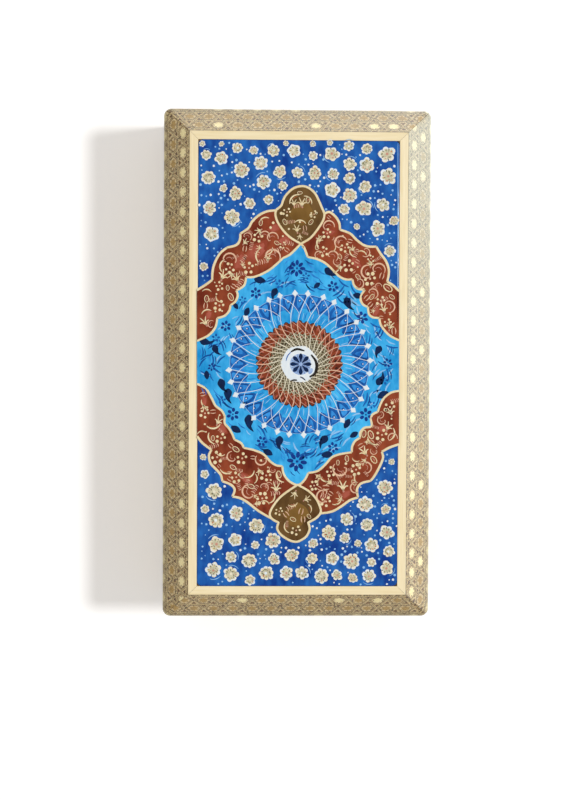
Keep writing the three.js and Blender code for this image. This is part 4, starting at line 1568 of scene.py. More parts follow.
@dataclass
class PaintedPlate:
    """The lacquered plate: a rosette on a turquoise lozenge, red bands round it and blossoms on cobalt."""

    grid: DrawingGrid = field(default_factory=DrawingGrid)
    edge_left: float = 197.3
    edge_right: float = 399.3
    rosette: Point = (299.6, 363.6)
    brush_strokes: int = 170
    filling_tries: int = 2600
    blossom_width: float = 15.5
    dots: int = 290
    dot_tries: int = 900
    dot_step: float = 4.6
    # An outline's lobes run clockwise. Each is a smooth line on from the cusp that ends the one before it.
    lozenge: str = """
        304.4,248 307.8,256.8 / 317.7,259 327,264 338.5,275.2 345.7,278.8 352.5,278.7 / 354,284.4 358.2,288.2
        365,289 / 361.3,294.3 360.8,299.5 363.4,304 368,306.2 / 369,313 372.8,316.4 379.5,317.2 / 381.4,325
        389.4,334.2 399.3,339.4 / 399.3,364 399.3,389.8 / 391.5,391.6 384.6,396.6 380.4,403.8 378,411 /
        373,413.4 370.7,417.4 / 371.6,425.4 364.5,427 360.2,432 360.3,437 / 355,440.6 352.2,446 352,451.6 /
        339.5,453.7 331.6,457 325.4,464 317.7,470.4 308.3,472.4 / 304.6,479.4 298.6,484.4 291.6,482.4
        286,477.4 283.2,472 282.3,465.7 / 276,464.8 269.8,460.6 263.6,453.9 254.2,449.8 243.8,447.5 /
        241.2,442.8 234.5,439.2 / 232.3,433.6 229,428 224.8,423 225,416.3 / 222,410.6 215.6,405.4 211.6,397.6
        206,388.6 197.3,383.8 / 197.3,362 197.3,341 / 208.5,335.6 215.6,327.5 217.6,318.2 / 224.6,316
        229.4,311 230.8,305.2 / 235.5,301.7 238,295.6 236.6,290.6 / 241.9,287.7 245.1,284 246.4,277.2 /
        252,277.3 258.6,275.6 268.8,270.4 277,263.8 283.3,257.9 / 289.6,254.8 295.2,249.6 301,243.5
    """
    band: str = """
        329.4,211.8 335.4,216.3 339.2,222.5 340,229.3 / 350,233 356.2,239 362.8,244 369,246 376.4,246 /
        380.4,252.7 386.3,261 389,270.6 387.3,280.8 / 393.6,284.8 399.3,290.4 / 399.3,366 399.3,443.3 /
        390,446.6 382,451 / 383.2,457 380,465.4 374.8,475 370.7,480.2 / 361.3,482.8 357,489 358.2,496.9 /
        350,499.7 341.6,505.7 332.2,511 320.8,513 / 296,522 271,518 / 258.4,510.6 248,502.4 240,497.8
        232.4,496.3 / 234.7,489.4 230.6,484.2 222.4,481 / 221,475 217,470 210.7,463 209,455.4 211.6,449.6 /
        202.4,442.6 197.3,436 / 197.3,362 197.3,290.6 / 206,285.2 212.6,280.2 / 213,272 215,263.8 220.4,253.9
        227.4,248 / 236.6,245.4 240.2,240.4 240.7,234 / 248.6,228.6 252.4,222 259,215.8 267,211.8 276,210.6 /
        300,212 324.4,213.8
    """
    top_palmette: str = """
        291.6,238.2 284.2,231.4 277.8,222 275.6,214.6 276.6,210 / 281.4,206 283.3,201 286.4,195.2 293.7,188.6
        302,186.4 308.6,188 314.8,193.2 318.9,200.7 322,208 / 324.4,214 322.9,220.7 317.7,229 310.4,237.8
        301,243.5
    """
    foot_palmette: str = """
        308.3,490.4 315.8,498 320,506.4 320.6,512 316.4,517.4 308,522.3 / 309.6,528.6 306.4,535.8 300.6,540
        296,541.4 289.6,540 281.4,534.8 277.2,528.4 278.6,522.3 / 271.9,518.4 269.8,513 274,504.5 282.3,495
        297.6,484.4
    """
    # Each blossom's place and width.
    blossoms: str = """
        207,156,11 222,159,15 238,149,12 254,151,10 274,151,13 294,151,15 242,171,16 261,164,15 280,172,14
        298,173,13 209,179,15 224,189,9 236,194,15 264,182,16 283,186,10 250,204,13 269,200,11 210,209,15
        232,218,17 212,235,17 204,267,9 313,156,10 332,154,16 349,146,12 367,149,12 387,154,18 315,173,15
        333,174,13 350,164,14 367,165,17 350,178,13 388,176,18 365,186,13 332,190,17 350,195,15 344,209,12
        364,208,17 383,204,15 357,226,7 378,228,17 394,220,11 390,250,13 214,491,17 205,509,10 216,520,17
        236,513,16 256,526,16 235,540,15 273,540,16 255,545,9 216,544,17 231,557,13 249,561,16 274,559,13
        292,555,15 213,570,17 231,574,16 250,580,12 266,573,16 286,573,15 203,457,7 205,474,10 385,487,16
        365,504,17 386,509,11 347,519,15 367,524,14 387,532,16 329,533,17 345,538,12 358,543,8 372,545,16
        389,551,13 313,543,11 312,558,12 332,558,15 352,561,17 372,562,10 387,568,15 302,573,15 321,576,16
        337,575,12 353,578,11 369,576,15 392,461,7 203,145,7 313,144,7 222,145,6 286,144,6 330,143,7
    """
    navy_marks: str = """
        floret 297,268 297,461,0,1.15
        small_floret 256,293 333,286,20,1.1 233,414,0,1.25 262,441,30 333,447,10 366,414,0,1.3 362,317,15,1.2
        226,326 212,367,0,0.8 388,362,10,0.9
        blue_floret 280,284 318,440 243,300,20,0.9 347,299,0,0.9 222,400 372,404,30,0.9 290,272,10,0.8
        306,276,0,0.9 305,455,0,0.9 288,452,20,0.8 216,338 384,380
        drop 274,293,-25 330,272,60,1.1 348,303,20,1.15 249,422,0,1.3 279,442,0,1.2 323,440,-40,1.1
        378,350,-30 216,350,30 222,385,10,1.1 228,395,0,1.2 381,379,150,1.1 206,342,80,1.1
        leaf 260,280,85,1.2 236,306,30,0.8 247,312,-20 358,295,80 236,429,60,1.1 268,452,65,1.1
        347,423,-30,1.1 354,434,-60 327,454,-75,1.2 383,394,-55,1.3 317,285,-50,0.8 207,375,0,0.9
        blade 272,279,-60 240,321,-30 339,291,-40,1.2 379,331,-30,1.2 213,360 388,374,10 244,404,25 262,430,40
        219,400,30 286,452,40 312,452,-50 338,436,-60,1.1 366,399,-20,1.1 377,402,-25,0.9 352,420,-40,0.9
        231,338,15,0.9 222,345,20 303,280,90,0.8 292,284,80,0.8 369,340,-20 391,350,-10,0.8 203,352,10,0.8
        205,390,20,0.8 305,446,90,0.8
    """
    band_marks: str = """
        scroll 230,260,-10 273,257,0,1.1 273,238,0,0.8 329,226,10,0.9 341,242,50 333,256,-30,0.8 368,271,80
        379,269,-20 373,293,-50,0.8 389,306,-70,0.9 232,456,110,0.8 261,459,150,0.9 249,491,90 382,419,130,0.7
        366,467,-70,0.9 340,468,150,1.1 356,487,90,0.9 323,496,80
        hook 228,267,120 264,256,125 266,224,60,0.8 208,316,50,0.8 207,295,40,0.7 325,243,120 356,250,160,0.8
        361,256,20,0.7 208,401,165,0.8 213,420,220 216,436,160 227,466,205,0.9 247,470,250,0.9 284,474,165
        268,496,270,0.8 387,432,-70 376,436,185 357,456,200,0.6 327,474,185,0.9 335,498,240,0.8
        five_dots 258.5,237 249,268,20 230,268,50,0.9 219.5,305.5 220,286,30,0.8 327,233,10,0.9 324,251,45,0.9
        345,247,0,0.9 349,265,20,1.05 371,258,30,0.7 381,300,0,0.9 388,322,10,0.8 205,413,0,0.9 221,438
        217,457,30,1.1 242,458,15 236,477,40 266,475 390,406 382,434,10,1.1 331,471,30,0.9 326,501
        283,245,0,0.6
        six_dots 370,278,0,1.1 262,498,0,1.1 356,469,15,1.1 314,485,0,0.9
        sprig 223,277,-20 237,279,30 205.5,323,20 268,259,0,0.8 353,249,40,0.7 384,309,10,0.9 390,326,-20,0.9
        218,422,-30,0.8 276,489,0,1.1 391,412,20,0.8 388,427,-20,0.9 365,452,30 343,487,0,1.1 341,499,60,0.7
        loop 261,223,0,0.8 231,297,20,1.1 228,288,0,0.7 207,299,0,0.9 277,243,60,0.7 358,276,50,0.8
        372,296,-40,0.8 388,287,50,1.3 392,296,60,0.8 213,438,0,0.7 236,449,60 233,467,60,0.9 251,486,70,0.9
        279,474,20,0.9 371,434,20,1.1 364,433,-10 374,459,40,1.1 347,458,0,0.8 354,482,30,0.8 338,462,0,0.7
        317,247,0,0.7 340,256,20,0.7
        pair 245,249,-15,0.8 382,275,-20,0.9 367,297,-40,0.8 203,394,-70,0.7 361,445,-60,0.8 326,487,-90,0.9
        325,491,0,0.8 394,330,0,0.9 206,306,0,0.8
        cream_dot 273.4,223,0,1.1 270.8,227.7 346,463 261,460,0,0.9 386,409 303,247,0,0.8
        hatch 240,284,60,0.9 262,262,10 278,250,20,0.9 289,243,-20,0.8 244,259,50,0.8 213,300,10,0.7
        356,253,60,0.8 336,240,-30,0.7 325,496,-20,0.9 341,475,30,0.9 247,484,70,0.9 275,493,10,0.9
        255,489,50,0.8 378,444,40,0.8 395,400,10,0.8 214,446,20,0.8 239,470,-20,0.7 384,299,30,0.8
        cloud 257,252,35,1.5 240,262,60,1.1 285,240,20,0.9 356,262,-40,0.9 376,311,60,0.7 204,401,80,0.7
        222,428,-45,0.8 275,228,20,0.8 330,232,0,0.7 246,478,-40,0.9 383,428,0,0.8 346,494,30,0.7
        388,332,70,0.5 300,478,0,0.1 209,315,80,0.6
    """
    palmette_marks: str = """
        hook 298,203,85 305,203,-15,0.9 300,227,35,0.9 292,500,235,0.7 291,526,140,0.8 306,509,-30,0.7
        sprig 294,204,0,0.8 302,204,0,0.9 297,230,0,0.8 300,236,180,0.6 295,493,160,0.8 306,499,-60,0.8
        five_dots 287,212,0,0.8 314,214,0,0.7 296,530,0,0.95 279,511,0,0.8
        loop 308,200,0,0.8 285,222,20,0.8 311,222,-30,0.8 293,519,60,0.8 309,516,40,0.7 300,193,90,0.7
        pair 286,514,40,0.9 301,511,-20,0.9 305,228,10,0.7 303,519,0,0.8
        hatch 298,206,0,0.8 291,222,10,0.7 291,507,20,0.9 287,524,80,0.6 305,233,-20,0.6
        cream_dot 281.5,213.5,0,1.2 311,215,0,1.2 316.5,213,0,1.1 300,222,0,0.9 289,229,0,0.9
    """

    @staticmethod
    def lobes(text: str) -> list[list[Point]]:
        """Reads an outline's lobes. Each starts where the one before it ends."""
        rows = [numbers(part) for part in text.split("/")]
        return [[before[-1], *row] for before, row in zip([rows[-1], *rows], rows, strict=False)]

    def outline(self, text: str) -> list[Point]:
        """Reads an outline and smooths each of its lobes."""
        return [spot for lobe in self.lobes(text) for spot in smooth_line(lobe)[:-1]]

    @staticmethod
    def marks(text: str) -> list[Place]:
        """Reads marks: a stamp's name and then its places, each as "right,down,turn,size".

        Args:
            text: The marks. A place may leave out its size, or its turn too.

        Returns:
            The places, a little uneven as a hand sets them.
        """
        rng = random.Random(71)
        places: list[Place] = []
        for word in text.split():
            if word[0].isalpha():
                stamp = word
                continue
            spot = Place(stamp, *numbers(word)[0])
            turn, size = spot.turn + rng.uniform(-8, 8), spot.size * rng.uniform(0.94, 1.06)
            places.append(replace(spot, turn=turn, size=size))
        return places

    def grounds(self, palette: Sequence[Material]) -> Object:
        """Lays the large grounds and their cream outlines.

        Args:
            palette: The paints' materials.

        Returns:
            The finished piece.
        """
        canvas = Canvas(self.grid)
        palmettes = {self.top_palmette: (303, 212), self.foot_palmette: (297, 516)}
        canvas.patch(self.outline(self.band), Paint.BRICK, 0.03)
        canvas.patch(self.outline(self.lozenge), Paint.TURQUOISE, 0.045)
        for palmette in palmettes:
            canvas.patch(self.outline(palmette), Paint.UMBER, 0.055)
        x, y = self.rosette
        for radius, paint, top, steps in (
            (69.4, Paint.RING, 0.055, 96),
            (55.5, Paint.TURQUOISE, 0.06, 72),
            (41.5, Paint.BRICK, 0.1, 72),
            (30, Paint.MOSS, 0.13, 60),
        ):
            canvas.patch(arc(x, y, radius, 0, 360, steps), paint, top)
        canvas.stroke(arc(x, y, 69.6, 0, 360, 96), 0.7, Paint.SKY, 0.1, closed=True)
        for lobe in self.lobes(self.lozenge) + self.lobes(self.band):
            if not self.on_edge(lobe) and not self.under_palmette(lobe):
                canvas.stroke(lobe, 2.7, Paint.CREAM, 0.1, 0.12, 4)
        for palmette in palmettes:
            canvas.stroke(self.outline(palmette), 2.6, Paint.CREAM, 0.11, closed=True)
        self.eye(canvas)
        for palmette, (x, y) in palmettes.items():
            inner = [(x + 0.5 * (px - x), y + 0.45 * (py - y)) for px, py in self.outline(palmette)]
            canvas.patch(inner, Paint.AMBER, 0.06)
        # A painted highlight: a pale line down the plate's right edge stands for the lamp's reflection on its
        # rounded lacquer.
        canvas.stroke([(397.9, 143), (398.2, 230), (397.7, 322)], 1.1, Paint.SKY, 0.03, 0.6)
        mesh = canvas.mesh("painted_grounds")
        for material in palette:
            mesh.materials.append(material)
        mesh.polygons.foreach_set("material_index", canvas.paints)
        return finished_object("painted_grounds", mesh, "lid")

    def on_edge(self, lobe: Sequence[Point]) -> bool:
        """Says whether a lobe only runs along the plate's edge."""
        return all(p[0] in (self.edge_left, self.edge_right) for p in lobe)

    @staticmethod
    def under_palmette(lobe: Sequence[Point]) -> bool:
        """Says whether a lobe is hidden by a palmette."""
        return {lobe[0], lobe[-1]} in ({(276, 210.6), (324.4, 213.8)}, {(320.8, 513), (271, 518)})

    def eye(self, canvas: Canvas) -> None:
        """Paints the rosette's pale eye, with its dark arcs.

        Args:
            canvas: What it is painted on.
        """
        x, y = self.rosette
        reaches = [18.4 + 0.5 * math.sin(7.3 * k) for k in range(40)]
        uneven = zip(reaches, arc(0, 0, 1, 0, 360, 40), strict=True)
        canvas.patch([(x + reach * px, y + reach * py) for reach, (px, py) in uneven], Paint.WHITE, 0.18)
        canvas.patch(arc(x + 0.8, y + 0.2, 10.6, 0, 360, 28), Paint.HAZE, 0.19)
        canvas.dab(x + 11, y + 7, 4.4, Paint.HAZE, 0.195, 10, 0.6, 60)
        for spots, width, paint in (
            ("-13.4,-3.2 -12,-8 -8.3,-12.3", 1.6, Paint.SAPPHIRE),
            ("-8.6,-12.2 -2.6,-15 4.9,-13.2", 3.6, Paint.SOOT),
            ("11.6,-9.4 16.2,-3.2 17.2,3.2 15.2,9.4 10,12.8", 4.6, Paint.SOOT),
            ("-8.6,16.6 -5.5,16 -2.4,16.2", 2.6, Paint.SOOT),
            ("0.4,12.8 3,13.8 5.9,16.2", 2.0, Paint.NAVY),
        ):
            line = [(x + px, y + py) for px, py in numbers(spots)]
            canvas.stroke(line, width, paint, 0.22, 0.5, 3)

    def rosette_places(self) -> list[Place]:
        """Sets the rosette's parts round its middle, a little uneven as a hand does.

        Returns:
            Their places.
        """
        rng = random.Random(32)
        x, y = self.rosette
        places = []
        for k in range(32):
            turn = 11.25 * k + 4 + rng.uniform(-1.2, 1.2)
            names = ["swirl_outer", "swirl_middle", "swirl_inner", "counter_outer", "tip", "cell"]
            places += [Place(name, x, y, turn + rng.uniform(-0.5, 0.5)) for name in names]
        for k in range(40):
            for name, start, lean, least, most in (
                ("petal", 0, 1, 0.985, 1.02),
                ("stain", 4, 3, 0.95, 1.05),
                ("streak", 0, 3, 0.98, 1.03),
            ):
                turn = 9 * k + start + rng.uniform(-lean, lean)
                places.append(Place(name, x, y, turn, rng.uniform(least, most)))
        for name, count in (("counter_middle", 32), ("counter_inner", 32), ("lattice", 34)):
            places += [Place(name, x, y, 360 * k / count + rng.uniform(-2, 2)) for k in range(count)]
        return places + [Place("eye_petal", x + 1.2, y, 45 * k) for k in range(8)]

    @staticmethod
    def around(x: float, y: float, margin: float) -> list[Point]:
        """Returns a place and the four that lie a margin away from it."""
        return [(x, y), (x + margin, y), (x - margin, y), (x, y + margin), (x, y - margin)]

    def covered(self, *shapes: str) -> list[list[Point]]:
        """Returns these outlines and those of both palmettes."""
        return [self.outline(shape) for shape in (*shapes, self.top_palmette, self.foot_palmette)]

    def filling_places(self, drawn: Sequence[Place]) -> list[Place]:
        """Fills what the drawn marks leave free of the bands with smaller ones.

        Args:
            drawn: The marks that are there.

        Returns:
            The places of the smaller marks.
        """
        rng = random.Random(23)
        inside, covered = self.outline(self.band), self.covered(self.lozenge)
        there = [place for place in drawn if place.stamp != "cloud"]
        places: list[Place] = []
        for _ in range(self.filling_tries):
            x, y = rng.uniform(self.edge_left + 4, self.edge_right - 4), rng.uniform(214, 512)
            spots = self.around(x, y, 4.6)
            free = all(within(inside, *spot) for spot in spots)
            free = free and not any(within(shape, *spot) for shape in covered for spot in spots)
            if free and all(math.hypot(x - p.x, y - p.y) > 3 + 3.2 * p.size for p in there + places):
                name = rng.choice(("hatch", "pair", "scroll", "hook", "sprig", "cream_dot"))
                places.append(Place(name, x, y, rng.uniform(0, 360), rng.uniform(0.5, 0.8)))
        return places

    def brushed_places(self) -> list[Place]:
        """Brushes darker and lighter strokes over the turquoise ground, along the lozenge's sides, the
        lighter ones more often on the lamp's side as a painted sheen.

        Returns:
            Their places.
        """
        rng = random.Random(47)
        shape = self.outline(self.lozenge)
        x0, y0 = self.rosette
        places: list[Place] = []
        while len(places) < self.brush_strokes:
            x, y = rng.uniform(self.edge_left, self.edge_right), rng.uniform(245, 482)
            clear = math.hypot(x - x0, y - y0) > 75
            if clear and all(within(shape, *spot) for spot in self.around(x, y, 5)):
                slant = -50 if (x - x0) * (y - y0) > 0 else 50
                # Painted sheen: right of the rosette, on the lamp's side, the lighter strokes come more
                # often.
                sheen_weighted_strokes = ("brush_light", "brush_light") if x > x0 + 30 else ("brush_deep", "brush_dark")
                name = rng.choice(("brush_light", "brush_deep", *sheen_weighted_strokes))
                places.append(Place(name, x, y, slant + rng.uniform(-30, 30), rng.uniform(0.6, 1.2)))
        return places

    def field_places(self) -> list[Place]:
        """Sets the blossoms on the blue field and strings small dots between them.

        Returns:
            The places of both.
        """
        rng = random.Random(9)
        spots = numbers(self.blossoms)
        places = []
        for k, (x, y, across) in enumerate(spots):
            kind = k * 5 % Stamps.blossom_kinds
            places.append(Place(f"blossom_{kind}", x, y, rng.uniform(0, 360), across / self.blossom_width))
        covered = self.covered(self.band)
        dots: list[Point] = []
        for _ in range(self.dot_tries):
            x, y = rng.uniform(200, 397), rng.choice((rng.uniform(143, 290), rng.uniform(436, 584)))
            heading = rng.uniform(0, 2 * math.pi)
            for step in range(rng.choice((1, 2, 3, 4))):
                px = x + self.dot_step * step * math.cos(heading + 0.25 * step)
                py = y + self.dot_step * step * math.sin(heading + 0.25 * step)
                clear = all(math.hypot(px - a, py - b) > c / 2 + 1.8 for a, b, c in spots)
                apart = all(math.hypot(px - a, py - b) > 3.6 for a, b in dots)
                free = not any(within(shape, *spot) for shape in covered for spot in self.around(px, py, 3))
                if clear and apart and free and 199.5 < px < 397.5 and 142.5 < py < 584.5:
                    dots.append((px, py))
        for x, y in dots[: self.dots]:
            name = rng.choice(("white_dot", "sky_dot", "sky_dot"))
            places.append(Place(name, x, y, 0.0, rng.uniform(0.4, 0.95)))
        return places

    def build(self) -> list[Object]:
        """Paints the plate.

        Returns:
            The finished pieces.
        """
        stamps = Stamps(self.grid)
        dress(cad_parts["painted_plate"], stamps.palette[list(Paint).index(Paint.COBALT)])
        scrolls = self.marks(self.band_marks + self.palmette_marks)
        return [
            self.grounds(stamps.palette),
            stamps.set_down("painted_rosette", self.rosette_places()),
            stamps.set_down("painted_navy_marks", self.brushed_places() + self.marks(self.navy_marks)),
            stamps.set_down("painted_band_scrolls", scrolls + self.filling_places(scrolls)),
            stamps.set_down("painted_blossoms", self.field_places()),
        ]


@dataclass(frozen=True)
class Padding:
    """A pad: a cover drawn over stuffing and held along its rim to a stiff back."""

    node: str
    body: str
    thick: int
    faces_up: bool
    slot: str = "velvet"
    fill: float = 0.5
    cell: float = 2.4
    crown: float = 0.62
    rim: float = 0.5
    mitred: bool = False
    tacked: float = 0.55
    blow_up: float = 10.0
    moments: int = 20

    def frame_of(self) -> tuple[np.ndarray, np.ndarray, list[int]]:
        """Returns the lowest and highest corners in millimetres, and the two axes across the pad."""
        low, high = (np.array(corner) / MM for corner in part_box(self.node))
        return low, high, [axis for axis in range(3) if axis != self.thick]

    def steps(self, size: float, drawn: float) -> np.ndarray:
        """Spaces the cover's points along an edge, with a narrow rim at both ends, which may be drawn in."""
        inner = np.linspace(self.rim + drawn, size - self.rim - drawn, max(6, round(size / self.cell)) - 1)
        return np.concatenate([[drawn], inner, [size - drawn]])

    def shell(self) -> tuple[np.ndarray, list[tuple[int, ...]], np.ndarray]:
        """Lays out the closed cover before it is stuffed.

        Returns:
            Its points as across, along and height, its faces, and how free each point is.
        """
        low, high, across = self.frame_of()
        sizes = high[across] - low[across]
        height = high[self.thick] - low[self.thick] - self.crown
        long_side = 0 if sizes[0] > sizes[1] else 1
        draws = [height if self.mitred and axis == long_side else 0.0 for axis in (0, 1)]
        lines = [self.steps(size, drawn) for size, drawn in zip(sizes, draws, strict=True)]
        grid = np.array([(x, y, height) for x in lines[0] for y in lines[1]])
        rows, columns = (len(line) for line in lines)
        index = np.arange(rows * columns).reshape(rows, columns)
        border = np.concatenate([index[:, 0], index[-1, 1:], index[-2::-1, -1], index[0, -2:0:-1]])
        grid[border, 2] = self.tacked * height
        if self.mitred:
            grid[index[:, 0], 2] = height + self.crown
        foot = grid[border].copy()
        foot[:, 2] = 0.0
        for axis in (0, 1):
            foot[:, axis] += np.sign(foot[:, axis] - sizes[axis] / 2) * foot[:, axis].min()
        base, count = rows * columns, len(border)
        around = [(k, (k + 1) % count) for k in range(count)]
        faces = [
            (index[i, j], index[i + 1, j], index[i + 1, j + 1], index[i, j + 1])
            for i in range(rows - 1)
            for j in range(columns - 1)
        ]
        faces += [(base + k, base + after, border[after], border[k]) for k, after in around]
        faces.append(tuple(range(base + count - 1, base - 1, -1)))
        free = np.ones(base + count)
        free[border] = 0.0
        free[base:] = 0.0
        return np.vstack([grid, foot]), [tuple(int(k) for k in face) for face in faces], free

    def stuffed(self, points: np.ndarray, faces: list[tuple[int, ...]], free: np.ndarray) -> np.ndarray:
        """Lets the stuffing press the cover out.

        Args:
            points: The cover's points in millimetres.
            faces: Its faces.
            free: 0 where a point is held.

        Returns:
            The points after it.
        """
        scale = self.blow_up * MM
        mesh = bpy.data.meshes.new("cover")
        mesh.from_pydata([tuple(p * scale) for p in points], [], faces)
        cover = placed("cover", mesh)
        scene = bpy.context.scene
        held = cover.vertex_groups.new(name="held")
        held.add([int(k) for k in np.flatnonzero(free < 0.5)], 1.0, "REPLACE")
        cloth = cover.modifiers.new("velvet", "CLOTH")
        cloth.settings.quality = 4
        cloth.settings.tension_stiffness = 12.0
        cloth.settings.compression_stiffness = 12.0
        cloth.settings.bending_stiffness = 0.8
        cloth.settings.use_pressure = True
        cloth.settings.uniform_pressure_force = 4.0
        cloth.settings.vertex_group_mass = "held"
        cloth.settings.effector_weights.gravity = 0.0
        cloth.point_cache.frame_start, cloth.point_cache.frame_end = 1, self.moments
        for moment in range(1, self.moments + 1):
            scene.frame_set(moment)
        shaped = cover.evaluated_get(bpy.context.evaluated_depsgraph_get())
        moved = np.empty(len(points) * 3)
        shaped.data.vertices.foreach_get("co", moved)
        scene.frame_set(1)
        bpy.data.objects.remove(cover)
        return moved.reshape(-1, 3) / scale

    def build(self, finish: Material) -> Object:
        """Builds the pad in its place.

        Args:
            finish: The cover's material.

        Returns:
            The finished piece.
        """
        low, high, across = self.frame_of()
        points, faces, free = self.shell()
        rise = np.zeros(len(points))
        rise = self.stuffed(points, faces, free)[:, 2] - points[:, 2]
        rise = self.crown * (1 - np.exp(-np.maximum(rise, 0.0) / self.crown)) * free
        height = points[:, 2] + rise
        place = np.empty_like(points)
        place[:, across] = low[across] + points[:, :2]
        place[:, self.thick] = low[self.thick] + height if self.faces_up else high[self.thick] - height
        mesh = bpy.data.meshes.new(self.node + "_pad")
        mesh.from_pydata([tuple(p * MM) for p in place], [], faces)
        bm = bmesh.new()
        bm.from_mesh(mesh)
        bmesh.ops.recalc_face_normals(bm, faces=bm.faces)
        for face in bm.faces:
            face.smooth = len(face.verts) == 4
        bm.to_mesh(mesh)
        bm.free()
        mesh.materials.append(finish)
        piece = finished_object(self.node + "_pad", mesh, self.body, (self.node,))
        return piece


@dataclass
class Linings:
    """The velvet inside the box and the felt under it."""

    velvet: Nap = Nap("velvet", "4c0a14", "8a1f2c", 0.6, 3.5, 0.12)
    felt: Nap = Nap("felt", "16301f", "27482f", 0.25, 1.8, 0.2)

    def build(self) -> list[Object]:
        """Builds the pads.

        Returns:
            The finished pieces.
        """
        velvet, felt = self.velvet.material(), self.felt.material()
        walls = (("front", 1, True), ("rear", 1, False), ("left", 0, True), ("right", 0, False))
        thin = {"crown": 0.25, "rim": 0.4, "mitred": True, "fill": 0.4}
        pads = [
            Padding("floor_lining", "box", 2, True, fill=0.55),
            Padding("lid_lining", "lid", 2, False, fill=0.55),
            *(Padding(f"wall_lining_{word}", "box", axis, up, **thin) for word, axis, up in walls),
        ]
        under = Padding("base_felt", "box", 2, False, "felt", 0.3, crown=0.1, rim=0.4)
        return [*(pad.build(velvet) for pad in pads), under.build(felt)]


@dataclass
class Studio:
    """A pale floor, one soft lamp from the right, an even surround and the camera above the lid."""

    eye: tuple[float, float, float] = (2.0, 23.9, 705.0)
    tilt: tuple[float, float, float] = (1.43, 1.91, -0.24)
    focal_in_pixels: float = 1658.2
    picture_height: int = 800
    sensor: float = 36.0
    lamp_power: float = 82.0
    lamp_size: float = 0.5
    lamp_place: tuple[float, float, float] = (0.2, -2.05, 3.1)
    surround: float = 0.5
    lean_of_surround: tuple[float, float] = (0.28, 0.42)
    glare_of_floor: float = 2.8
    floor_size: float = 1.7
    warm: Colour = (1.0, 0.93, 0.86, 1.0)
    cool: Colour = (0.86, 0.95, 1.0, 1.0)

    def camera(self) -> None:
        """Makes the camera look straight down on the lid, with the front of the box to its right."""
        data = bpy.data.cameras.new("camera")
        data.sensor_width = self.sensor
        data.lens = self.focal_in_pixels / self.picture_height * self.sensor
        data.clip_start, data.clip_end = 0.01, 20.0
        camera = placed("camera", data)
        upright = Matrix(((0, -1, 0), (1, 0, 0), (0, 0, 1)))
        turns = [Matrix.Rotation(math.radians(a), 3, way) for a, way in zip(self.tilt, "XYZ", strict=True)]
        camera.matrix_world = (turns[2] @ turns[1] @ turns[0] @ upright).transposed().to_4x4()
        camera.location = Vector(self.eye) * MM
        bpy.context.scene.camera = camera

    def lamp(self) -> None:
        """Hangs the soft lamp and aims it at the box."""
        data = bpy.data.lights.new("soft_lamp", "AREA")
        data.shape = "DISK"
        data.size = self.lamp_size
        data.energy = self.lamp_power
        lamp = placed("soft_lamp", data)
        lamp.location = self.lamp_place
        aim = Vector((0, 0, 0.04)) - Vector(self.lamp_place)
        lamp.rotation_euler = aim.to_track_quat("-Z", "Y").to_euler()

    def glare(self, w: Wiring) -> tuple[NodeSocket, NodeSocket]:
        """Makes the floor glow, and more so on the lamp's side as polished faces see it.

        Args:
            w: The wiring of the floor's material.

        Returns:
            The glow's strength and its colour.
        """
        spot = w.parts(w.on_object())
        toward = w.minus(w.times(spot["X"], 0.6), spot["Y"])
        path = w.add("ShaderNodeLightPath").outputs
        lamp_side = w.times(w.ramp(toward, 0.0, 0.2), self.glare_of_floor)
        shiny = w.times(lamp_side, path["Is Glossy Ray"])
        plain = w.times(w.math("MAXIMUM", path["Is Camera Ray"], path["Is Transmission Ray"]), 0.3)
        return w.plus(plain, shiny), w.mix(path["Is Glossy Ray"], self.warm, self.cool)

    def world(self) -> None:
        """Makes an even surround that is white for the camera and in metal and glass."""
        world = bpy.data.worlds.new("surround")
        w = fresh_wiring(world)
        path = w.add("ShaderNodeLightPath").outputs
        clear = w.math("MAXIMUM", path["Is Glossy Ray"], path["Is Transmission Ray"])
        heading = w.parts(w.on_object("Generated"))
        along, across = (w.times(heading[k], self.lean_of_surround[k]) for k in (0, 1))
        lit = w.times(w.plus(w.plus(along, across), 1.0), self.surround)
        strength = w.mix_number(w.math("MAXIMUM", path["Is Camera Ray"], clear), lit, 1.0)
        light = w.add("ShaderNodeBackground", {"Color": (1.0, 1.0, 1.0, 1.0), "Strength": strength})
        w.add("ShaderNodeOutputWorld", {"Surface": light.outputs[0]})
        bpy.context.scene.world = world

    def floor(self) -> None:
        """Lays the pale floor, which keeps the box's shadow."""
        half = self.floor_size / 2
        mesh = bpy.data.meshes.new("floor")
        corners = [(-half, -half, 0), (half, -half, 0), (half, half, 0), (-half, half, 0)]
        mesh.from_pydata(corners, [], [(0, 1, 2, 3)])
        material = bpy.data.materials.new("pale_floor")
        w = fresh_wiring(material)
        matt = w.add("ShaderNodeBsdfDiffuse", {"Color": (0.86, 0.86, 0.86, 1.0)})
        strength, colour = self.glare(w)
        glow = w.add("ShaderNodeEmission", {"Color": colour, "Strength": strength})
        both = w.add("ShaderNodeAddShader")
        w.feed(both.inputs[0], matt.outputs[0])
        w.feed(both.inputs[1], glow.outputs[0])
        w.add("ShaderNodeOutputMaterial", {"Surface": both.outputs[0]})
        mesh.materials.append(material)
        placed("floor", mesh)

    def build(self) -> None:
        """Sets the whole stage."""
        self.camera()
        self.lamp()
        self.world()
        self.floor()
        bpy.context.scene.view_settings.view_transform = "Standard"


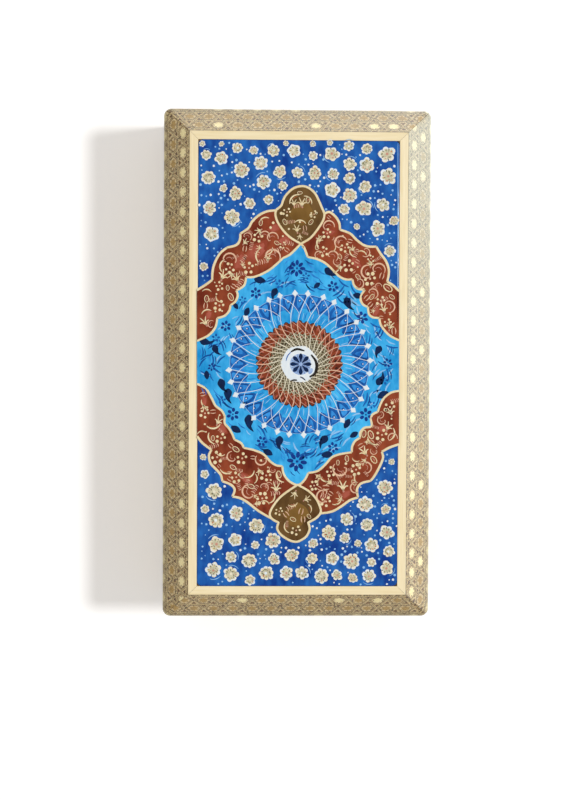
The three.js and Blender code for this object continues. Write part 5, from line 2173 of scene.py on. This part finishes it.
@dataclass
class Carcass:
    """The woods, bone strips and hinges whose solids are right as they are and only take a finish."""

    bone: Grained = Grained("bone", "f6e6bf", "e4cd97", 1.4, 0.12, 0.8, 0.38, 0.7, 0.006)
    walnut: Grained = Grained("walnut", "8a5f3a", "54361f", 1.6, 0.35, 0.9, 0.5, 0.15, 0.04)
    plywood: Grained = Grained("plywood", "c79f6c", "9c7448", 1.2, 0.25, 0.7, 0.6, 0.0, 0.05)
    edging: Grained = Grained("edging", "6a4526", "2f1d12", 2.2, 0.6, 0.9, 0.5, 0.2, 0.01)
    brass: CastMetal = CastMetal("hinge_brass", "d9b45e", "8c6a34")

    @staticmethod
    def along(node: str) -> str:
        """Says which way the fibres of a side's piece run."""
        return "Y" if node.endswith(("_left", "_right")) else "X"

    def finish_for(self, node: str) -> tuple[str, object] | None:
        """Finds a node's finish.

        Args:
            node: The node's name.

        Returns:
            The finish's key and the finish, or None where a modelled piece stands for the node.
        """
        from_stem = {
            "ivory_strip": self.bone,
            "lid_rail": self.walnut,
            "wall_": self.walnut,
            "lid_rim_strip": self.edging,
            "box_rim_strip": self.edging,
            "foot_strip": self.edging,
            "lid_board": self.plywood,
            "base_board": self.plywood,
        }
        if node.startswith("hinge"):
            return "brass", self.brass
        for stem, wood in from_stem.items():
            if node.startswith(stem):
                turned = replace(wood, along=self.along(node))
                return f"{wood.name}_{turned.along}", turned
        return None

    def build(self) -> None:
        """Dresses the solids that stay."""
        made: dict[str, Material] = {}
        for name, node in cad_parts.items():
            found = self.finish_for(name)
            if found is None or node.hide_render:
                continue
            key, finish = found
            if key not in made:
                made[key] = finish.material()
            dress(node, made[key])
        log.info("dressed the solids that stay with %s", ", ".join(made))


def save_sizes() -> None:
    """Brings the view layer up to date."""
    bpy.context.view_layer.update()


def main() -> None:
    """Builds the box's looks, sub-assembly by sub-assembly."""
    Studio().build()
    Linings().build()
    Borders().build()
    PaintedPlate().build()
    Carcass().build()
    save_sizes()


if __name__ == "__main__":
    logging.basicConfig(level=logging.INFO, format="%(message)s")
    main()
